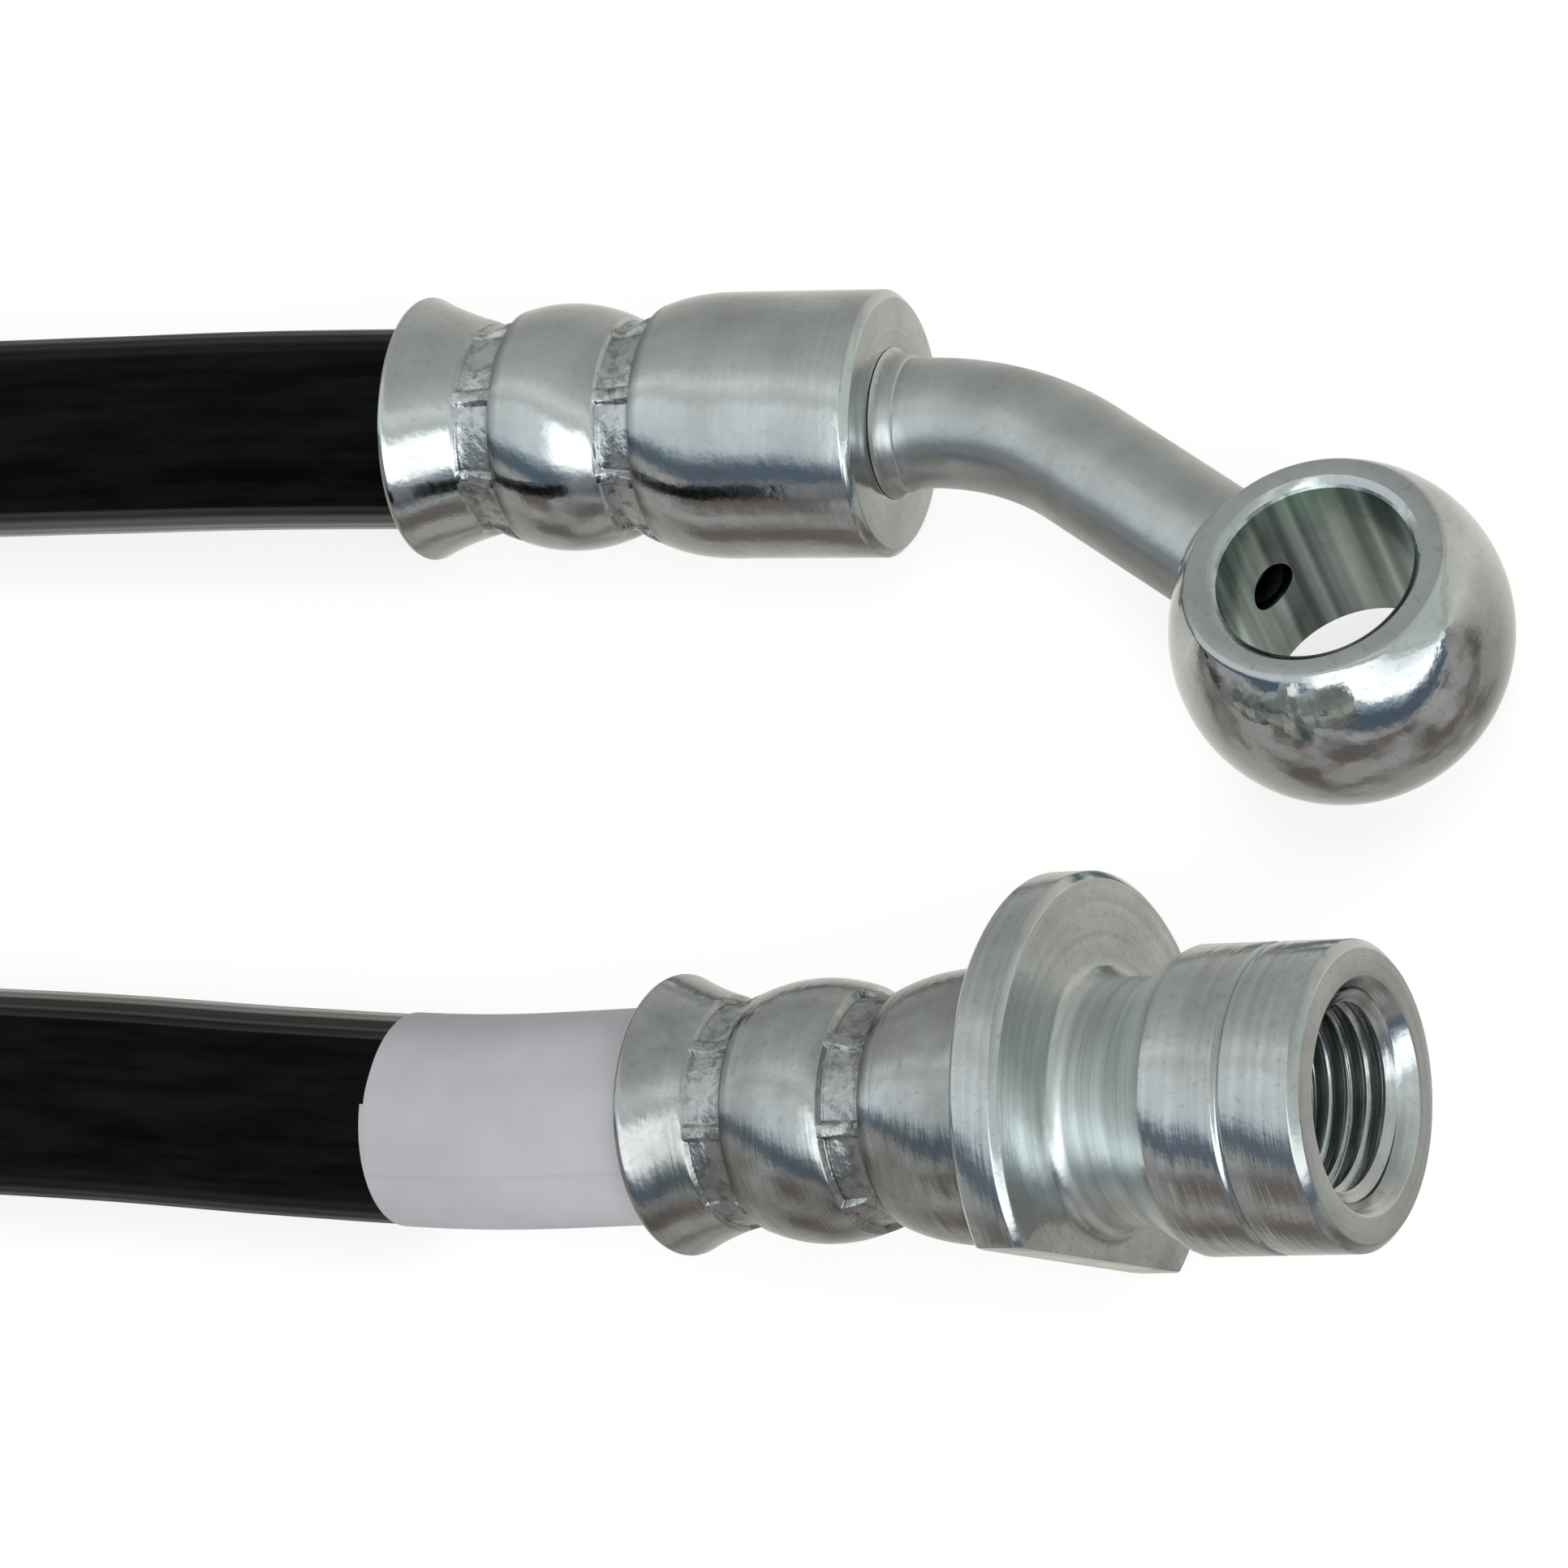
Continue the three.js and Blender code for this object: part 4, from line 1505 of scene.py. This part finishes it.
class BRAKEHOSE_OT_plies(bpy.types.Operator):
    """Sweep the liner, the two braids and the rubber between them along the hose"""

    bl_idname = "brakehose.plies"
    bl_label = "Inner plies"

    def execute(self, context):
        finishes = context.scene.hose_finishes
        line, _ = even_line(hose_points(), PLY_SPACING * MM)
        # Node, slot, material, and outer and inner radius in millimetres
        plies = (
            ("outer_braid", "braid", yarn_material, 3.46, 3.18),
            ("middle_rubber", "inner_rubber", inner_rubber_material, 3.06, 2.82),
            ("inner_braid", "braid", yarn_material, 2.70, 2.42),
            ("hose_liner", "inner_rubber", inner_rubber_material, 2.30, 1.60),
        )
        for node, slot, look, outer, inner in plies:
            radii = [lambda distance, side, r=r: r * MM for r in (outer, inner)]
            ply = sweep(node + "_ply", line, PLY_SIDES, *radii)
            finish_piece(ply, look(finishes), slot, node)
        return {"FINISHED"}


class BRAKEHOSE_OT_label(bpy.types.Operator):
    """Wrap the film label round the hose beside the female fitting"""

    bl_idname = "brakehose.label"
    bl_label = "Label"

    def execute(self, context):
        sizes = context.scene.hose_sizes
        line, length = even_line(hose_points(), LABEL_SPACING * MM)
        far = length - (HOSE_END + CLEARANCE) * MM
        near = far - sizes.label_length
        part = [(point, distance) for point, distance in line if near <= distance <= far]
        full = 2 * math.pi + sizes.label_overlap
        seam = math.radians(LABEL_SEAM_DEGREES)
        radius = sizes.diameter / 2 + LABEL_GAP * MM
        step_up = sizes.label_thickness + LABEL_STEP_GAP * MM
        mesh = bmesh.new()
        rows = []
        for index, ((point, _), (level, upward)) in enumerate(zip(part, cross_axes(part))):
            row = []
            along = index / (len(part) - 1)
            ahead = level.cross(upward)
            for column in range(LABEL_COLUMNS + 1):
                share = column / LABEL_COLUMNS
                angle = seam + full * share
                past_start = angle - seam - 2 * math.pi
                over = min(max((past_start + LABEL_CLIMB_START) / LABEL_CLIMB, 0), 1)
                lift = step_up * over * over * (3 - 2 * over)
                ripple = math.sin(9 * angle + 5 * along) * math.sin(math.pi * along)
                out = level * math.cos(angle) + upward * math.sin(angle)
                skew = ahead * (LABEL_SKEW * MM * (share - 0.5))
                height = radius + lift + LABEL_RIPPLE * MM * ripple
                row.append(mesh.verts.new(point + skew + out * height))
            rows.append(row)
        for a, b in zip(rows, rows[1:]):
            for column in range(LABEL_COLUMNS):
                made = mesh.faces.new((a[column], a[column + 1], b[column + 1], b[column]))
                made.smooth = True
        label = mesh_object("label_film", mesh)
        pick(label)
        bpy.ops.object.mode_set(mode="EDIT")
        bpy.ops.mesh.select_all(action="SELECT")
        bpy.ops.mesh.normals_make_consistent(inside=False)
        bpy.ops.object.mode_set(mode="OBJECT")
        thicken(label, "film", sizes.label_thickness, 1)
        bpy.ops.object.shade_smooth_by_angle(angle=math.radians(40))
        look = label_material(context.scene.hose_finishes)
        finish_piece(label, look, "label_film", "label_wrap")
        return {"FINISHED"}


class BRAKEHOSE_OT_cover(bpy.types.Operator):
    bl_idname = "brakehose.cover"
    bl_label = "Hose cover"

    def execute(self, context):
        sizes = context.scene.hose_sizes
        line, length = even_line(hose_points(), COVER_SPACING * MM)
        inside = HOSE_END * MM
        groove = (1.0, 0.25, 0.0, 0.25)

        def outer(distance, side):
            depth = max(inside - distance, distance - (length - inside), 0)
            smooth = crimped_radius(depth / MM) * MM * sizes.diameter / (2 * HOSE_RADIUS * MM)
            return smooth - sizes.rib_depth * groove[side % 4]

        def inner(distance, side):
            return COVER_BORE_RADIUS * MM

        cover = sweep("hose_rubber", line, 4 * sizes.rib_count, outer, inner)
        look = rubber_material(context.scene.hose_finishes)
        finish_piece(cover, look, "hose_rubber", "hose_cover")
        return {"FINISHED"}


class BRAKEHOSE_OT_banjo_socket(bpy.types.Operator):
    """Turn and crimp the shell and barrel of the banjo end"""

    bl_idname = "brakehose.banjo_socket"
    bl_label = "Banjo socket"

    def execute(self, context):
        sizes = context.scene.fitting_sizes
        bands = jaw_bands(BANJO_BANDS, sizes)
        outline = shell_outside(BANJO_BARREL_RADIUS, bands)
        outline += [
            (19.5, BANJO_BARREL_RADIUS),
            (22.5, BANJO_BARREL_RADIUS),
            (BANJO_FACE - 0.4, BANJO_BARREL_RADIUS),
            (BANJO_FACE, BANJO_BARREL_RADIUS - 0.4),
            (BANJO_FACE, 4.4),
            (BANJO_FACE, 3.65),
            (PIPE_SEAT, 3.65),
            (PIPE_SEAT, INSERT_BORE_RADIUS),
        ]
        outline += reversed(shell_inside())
        socket = turn_outline("banjo_shell", outline, sizes.sides)
        press_jaws(socket, bands, BANJO_JAWS_TURN, sizes)
        round_edges(socket, sizes.edge_round)
        place(socket, banjo_frame())
        look = zinc_material(
            "zinc_on_banjo_shell",
            banjo_frame(),
            context.scene.hose_finishes,
            turned_from=SHOULDER,
            tone=1.05,
            marks=0.12,
            bands=bands,
        )
        finish_piece(socket, look, "zinc_steel", "banjo_socket")
        return {"FINISHED"}


class BRAKEHOSE_OT_neck_pipe(bpy.types.Operator):
    """Extrude and spin the bent pipe with its collar"""

    bl_idname = "brakehose.neck_pipe"
    bl_label = "Neck pipe"

    def execute(self, context):
        angle = math.radians(PIPE_BEND_DEGREES)
        outline = [
            (PIPE_SEAT + CLEARANCE, PIPE_RADIUS),
            (BANJO_FACE - CLEARANCE, PIPE_RADIUS),
            (BANJO_FACE - CLEARANCE, 3.63),
            *((BANJO_FACE + along, radius) for along, radius in COLLAR),
            (PIPE_BEND_START, PIPE_RADIUS),
        ]
        pipe = turn_outline("bent_pipe", outline, PIPE_SIDES, closed=False)
        pick(pipe)
        bpy.ops.object.mode_set(mode="EDIT")
        bpy.ops.mesh.select_mode(type="VERT")
        bpy.ops.mesh.select_all(action="DESELECT")
        mesh = bmesh.from_edit_mesh(pipe.data)
        for vertex in mesh.verts:
            vertex.select_set(abs(vertex.co.x - PIPE_BEND_START * MM) < 1e-6)
        mesh.select_flush(True)
        bmesh.update_edit_mesh(pipe.data)
        bpy.ops.mesh.spin(
            steps=BEND_STEPS,
            angle=angle,
            center=(PIPE_BEND_START * MM, -PIPE_BEND_RADIUS * MM, 0),
            axis=(0, 0, 1),
        )
        leg = (PIPE_LEG - EYE_SEAT - CLEARANCE) * MM
        ahead = Vector((math.cos(angle), -math.sin(angle), 0))
        bpy.ops.mesh.extrude_edges_move(TRANSFORM_OT_translate={"value": ahead * leg})
        bpy.ops.object.mode_set(mode="OBJECT")
        face_outwards(pipe)
        thicken(pipe, "wall", PIPE_WALL * MM, -1)
        round_edges(pipe, 0.05 * MM)
        place(pipe, banjo_frame())
        look = zinc_material(
            "zinc_on_pipe",
            banjo_frame(),
            context.scene.hose_finishes,
            rough=(0.28, 0.4),
            ring_depth=0.0,
            turned_from=90.0,
        )
        finish_piece(pipe, look, "zinc_steel", "neck_pipe")
        return {"FINISHED"}


class BRAKEHOSE_OT_banjo_eye(bpy.types.Operator):
    """Turn the eye, drill its cross hole and seat, and add the braze round the pipe"""

    bl_idname = "brakehose.banjo_eye"
    bl_label = "Banjo eye"

    def execute(self, context):
        edge = math.asin((EYE_HALF - 0.07) / EYE_RADIUS)
        outline = [
            (EYE_HALF, EYE_RING_INNER),
            (EYE_HALF - EYE_CHAMFER, EYE_BORE_RADIUS),
            (0.0, EYE_BORE_RADIUS),
            (EYE_CHAMFER - EYE_HALF, EYE_BORE_RADIUS),
            (-EYE_HALF, EYE_RING_INNER),
            (-EYE_HALF, EYE_RING_OUTER),
        ]
        for index in range(EYE_ARC_STEPS + 1):
            turn = mix(-edge, edge, index / EYE_ARC_STEPS)
            outline.append((EYE_RADIUS * math.sin(turn), EYE_RADIUS * math.cos(turn)))
        outline.append((EYE_HALF, EYE_RING_OUTER))
        eye = turn_outline("ball_eye", outline, EYE_SIDES)
        place(eye, Matrix.Rotation(-math.pi / 2, 4, "Y"))
        drill(eye, CROSS_HOLE_RADIUS, -6.4, CROSS_HOLE_SIDES)
        drill(eye, EYE_SEAT_RADIUS, -(EYE_SEAT + DRILL_DEPTH / 2), EYE_SEAT_SIDES)
        round_edges(eye, 0.06 * MM, 2, 28)

        reach = math.sqrt(EYE_RADIUS**2 - PIPE_RADIUS**2)
        rings = [(reach + along, radius) for along, radius in BRAZE]
        braze = turn_outline("braze", rings, PIPE_SIDES)
        place(braze, Matrix.Rotation(math.pi, 4, "Z"))
        pick(braze)
        bpy.ops.object.shade_smooth_by_angle(angle=math.radians(60))
        join(eye, braze)
        place(eye, eye_frame())
        upright = eye_frame() @ Matrix.Rotation(-math.pi / 2, 4, "Y")
        look = zinc_material(
            "zinc_on_eye",
            upright,
            context.scene.hose_finishes,
            rough=(0.05, 0.13),
            ring_depth=0.001,
            turned_from=9.0,
            bore=(EYE_BORE_RADIUS + 0.15) * MM,
            tone=0.98,
            stains=0.3,
        )
        finish_piece(eye, look, "zinc_steel", "banjo_eye")
        return {"FINISHED"}


class BRAKEHOSE_OT_female_fitting(bpy.types.Operator):
    """Turn and crimp the female fitting, cut its flat and its thread"""

    bl_idname = "brakehose.female_fitting"
    bl_label = "Female fitting"

    def execute(self, context):
        sizes = context.scene.fitting_sizes
        bands = jaw_bands(FEMALE_BANDS, sizes)
        outline = shell_outside(FEMALE_BARREL_RADIUS, bands)
        outline += [
            (19.2, FEMALE_BARREL_RADIUS),
            (FLANGE_BACK - 0.25, FEMALE_BARREL_RADIUS),
            (FLANGE_BACK - 0.05, FEMALE_BARREL_RADIUS - 0.12),
            (FLANGE_BACK, FEMALE_BARREL_RADIUS + 0.1),
            (FLANGE_BACK, FLANGE_RADIUS - 0.3),
            (FLANGE_BACK + 0.3, FLANGE_RADIUS),
            (FLANGE_FRONT - 0.35, FLANGE_RADIUS),
            (FLANGE_FRONT, FLANGE_RADIUS - 0.35),
            (FLANGE_FRONT, CLIP_NECK_RADIUS + 1.0),
            (FLANGE_FRONT + 0.07, CLIP_NECK_RADIUS + 0.62),
            (FLANGE_FRONT + 0.3, CLIP_NECK_RADIUS + 0.27),
            (FLANGE_FRONT + 0.62, CLIP_NECK_RADIUS + 0.06),
            (FLANGE_FRONT + 1.0, CLIP_NECK_RADIUS),
            (CONE_START - 0.2, CLIP_NECK_RADIUS),
            (CONE_START + 0.1, CLIP_NECK_RADIUS + 0.1),
            (PORT_START - 0.15, PORT_RADIUS - 0.1),
            (PORT_START + 0.15, PORT_RADIUS),
            (30.5, PORT_RADIUS),
            (32.0, PORT_RADIUS),
            (PORT_MARK, PORT_RADIUS),
            (PORT_MARK + 0.14, PORT_RADIUS - PORT_MARK_DEPTH),
            (PORT_MARK + 0.26, PORT_RADIUS - PORT_MARK_DEPTH),
            (PORT_MARK + 0.42, PORT_RADIUS),
            (35.0, PORT_RADIUS),
            (PORT_END - 0.42, PORT_RADIUS),
            (PORT_END, PORT_RADIUS - 0.42),
            (PORT_END, 5.62),
            (PORT_END - 0.86, PORT_BORE_RADIUS),
            (PORT_FLOOR + 1.0, PORT_BORE_RADIUS),
            (PORT_FLOOR, 4.4),
            (PORT_FLOOR, 3.3),
            (PORT_FLOOR + SEAT_HEIGHT, 2.0),
            (PORT_FLOOR + SEAT_HEIGHT, PASSAGE_RADIUS),
            (FEMALE_INSERT_END, PASSAGE_RADIUS),
            (FEMALE_INSERT_END, INSERT_BORE_RADIUS),
        ]
        outline += reversed(shell_inside())
        fitting = turn_outline("female_end", outline, sizes.sides)
        press_jaws(fitting, bands, FEMALE_JAWS_TURN, sizes)
        self.cut_flat(fitting)
        round_edges(fitting, sizes.edge_round)
        join(fitting, self.thread(sizes))
        place(fitting, female_frame())
        look = zinc_material(
            "zinc_on_female_end",
            female_frame(),
            context.scene.hose_finishes,
            rough=(0.13, 0.27),
            ring_depth=0.03,
            rings=2400.0,
            turned_from=FLANGE_BACK,
            tone=1.08,
            stains=0.3,
            marks=0.34,
            # How dark the painted shade in the hollow corners gets
            corners=0.5,
            aged=0.5,
            matt=(FLANGE_FRONT + 0.1, PORT_START),
            bands=bands,
        )
        finish_piece(fitting, look, "zinc_steel", "female_fitting")
        return {"FINISHED"}

    def cut_flat(self, fitting):
        """Cuts the flat off the flange that stops the fitting from turning."""
        turn = math.radians(FLAT_TURN_DEGREES)
        outward = Vector((0, -math.cos(turn), -math.sin(turn)))
        pick(fitting)
        bpy.ops.object.mode_set(mode="EDIT")

        def on_flange(centre, normal):
            if math.hypot(centre.y, centre.z) <= (FEMALE_BARREL_RADIUS + 0.12) * MM:
                return False
            return (FLANGE_BACK - 0.02) * MM < centre.x < (FLANGE_FRONT + 0.02) * MM

        select_faces(fitting, on_flange)
        bpy.ops.mesh.bisect(
            plane_co=outward * FLAT_OFFSET * MM,
            plane_no=outward,
            use_fill=True,
            clear_outer=True,
        )
        bpy.ops.object.mode_set(mode="OBJECT")
        face_outwards(fitting)

    def thread(self, sizes):
        """A ridge that winds through the port, made by the Screw modifier from its section."""
        root = THREAD_ROOT_RADIUS * MM
        crest = root - sizes.thread_depth
        pitch = sizes.thread_pitch
        start = (PORT_FLOOR + SEAT_HEIGHT) * MM
        turns = int(((PORT_END - 0.75) * MM - start) / pitch)
        deselect()
        bpy.ops.mesh.primitive_plane_add(size=1, rotation=(math.pi / 2, 0, 0))
        ridge = bpy.context.object
        ridge.name = "port_thread"
        bpy.ops.object.transform_apply(location=True, rotation=True, scale=True)
        for vertex in ridge.data.vertices:
            inward = vertex.co.z < 0
            half = (CREST_SHARE if inward else ROOT_SHARE) * pitch
            side = 1 if vertex.co.x > 0 else -1
            vertex.co = (start + side * half, 0, crest if inward else root)
        pick(ridge)
        bpy.ops.object.mode_set(mode="EDIT")
        bpy.ops.mesh.select_all(action="SELECT")
        bpy.ops.mesh.delete(type="ONLY_FACE")
        bpy.ops.object.mode_set(mode="OBJECT")
        screw = ridge.modifiers.new("screw", "SCREW")
        screw.axis = "X"
        screw.angle = 2 * math.pi
        screw.screw_offset = pitch
        screw.iterations = turns
        screw.steps = THREAD_SIDES
        screw.render_steps = THREAD_SIDES
        screw.use_smooth_shade = True
        bpy.ops.object.modifier_apply(modifier=screw.name)
        bpy.ops.object.mode_set(mode="EDIT")
        bpy.ops.mesh.select_mode(type="EDGE")
        bpy.ops.mesh.select_all(action="DESELECT")
        bpy.ops.mesh.select_non_manifold()
        bpy.ops.mesh.fill_holes(sides=0)
        bpy.ops.object.mode_set(mode="OBJECT")
        face_outwards(ridge)
        bpy.ops.object.shade_smooth_by_angle(angle=math.radians(35))
        return ridge


class BRAKEHOSE_OT_inserts(bpy.types.Operator):
    """Turn the barbed insert tubes inside the hose's bore"""

    bl_idname = "brakehose.inserts"
    bl_label = "Inserts"

    def execute(self, context):
        look = insert_material(context.scene.hose_finishes)
        ends = (
            ("banjo_insert", banjo_frame(), PIPE_SEAT - CLEARANCE),
            ("female_insert", female_frame(), FEMALE_INSERT_END - CLEARANCE),
        )
        head_start = CHAMBER_FLOOR + CLEARANCE
        for node, matrix, head_end in ends:
            outline = [(INSERT_START, INSERT_INNER_RADIUS), (INSERT_START, 1.1)]
            barb = INSERT_START + 0.3
            while barb < LAST_BARB:
                outline.append((barb, BARB_ROOT_RADIUS))
                outline.append((barb + 0.9, BARB_RADIUS))
                outline.append((barb + 0.95, BARB_ROOT_RADIUS))
                barb += BARB_SPACING
            outline += [
                (head_start, BARB_RADIUS),
                (head_start, INSERT_HEAD_RADIUS - 0.1),
                (head_start + 0.1, INSERT_HEAD_RADIUS),
                (head_end, INSERT_HEAD_RADIUS),
                (head_end, INSERT_INNER_RADIUS),
            ]
            tube = turn_outline(node + "_tube", outline, INSERT_SIDES)
            round_edges(tube, 0.03 * MM, 1, 40)
            place(tube, matrix)
            finish_piece(tube, look, "insert_steel", node)
        return {"FINISHED"}


class BRAKEHOSE_PT_panel(bpy.types.Panel):
    """Lists the pieces and their sizes"""

    bl_idname = "BRAKEHOSE_PT_panel"
    bl_label = "Brake Hose"
    bl_space_type = "VIEW_3D"
    bl_region_type = "UI"
    bl_category = "Brake Hose"

    def draw(self, context):
        layout = self.layout
        for group in ("hose_sizes", "fitting_sizes", "hose_finishes", "hose_studio"):
            box = layout.box()
            settings = getattr(context.scene, group)
            for name in settings.__annotations__:
                box.prop(settings, name)
        column = layout.column(align=True)
        for operator in OPERATORS:
            column.operator(operator.bl_idname)


OPERATORS = (
    BRAKEHOSE_OT_studio,
    BRAKEHOSE_OT_plies,
    BRAKEHOSE_OT_label,
    BRAKEHOSE_OT_cover,
    BRAKEHOSE_OT_banjo_socket,
    BRAKEHOSE_OT_neck_pipe,
    BRAKEHOSE_OT_banjo_eye,
    BRAKEHOSE_OT_female_fitting,
    BRAKEHOSE_OT_inserts,
)
CLASSES = (HoseSizes, FittingSizes, HoseFinishes, StudioSettings, *OPERATORS, BRAKEHOSE_PT_panel)


def register():
    """Registers the classes and hangs the settings on the scene."""
    for made in CLASSES:
        bpy.utils.register_class(made)
    bpy.types.Scene.hose_sizes = PointerProperty(type=HoseSizes)
    bpy.types.Scene.fitting_sizes = PointerProperty(type=FittingSizes)
    bpy.types.Scene.hose_finishes = PointerProperty(type=HoseFinishes)
    bpy.types.Scene.hose_studio = PointerProperty(type=StudioSettings)


def unregister():
    """Takes the settings and the classes away again."""
    del bpy.types.Scene.hose_studio
    del bpy.types.Scene.hose_finishes
    del bpy.types.Scene.fitting_sizes
    del bpy.types.Scene.hose_sizes
    for made in reversed(CLASSES):
        bpy.utils.unregister_class(made)


def main():
    """Builds every piece in order."""
    register()
    bpy.ops.brakehose.studio()
    bpy.ops.brakehose.plies()
    bpy.ops.brakehose.label()
    bpy.ops.brakehose.cover()
    bpy.ops.brakehose.banjo_socket()
    bpy.ops.brakehose.neck_pipe()
    bpy.ops.brakehose.banjo_eye()
    bpy.ops.brakehose.female_fitting()
    bpy.ops.brakehose.inserts()


if __name__ == "__main__":
    main()
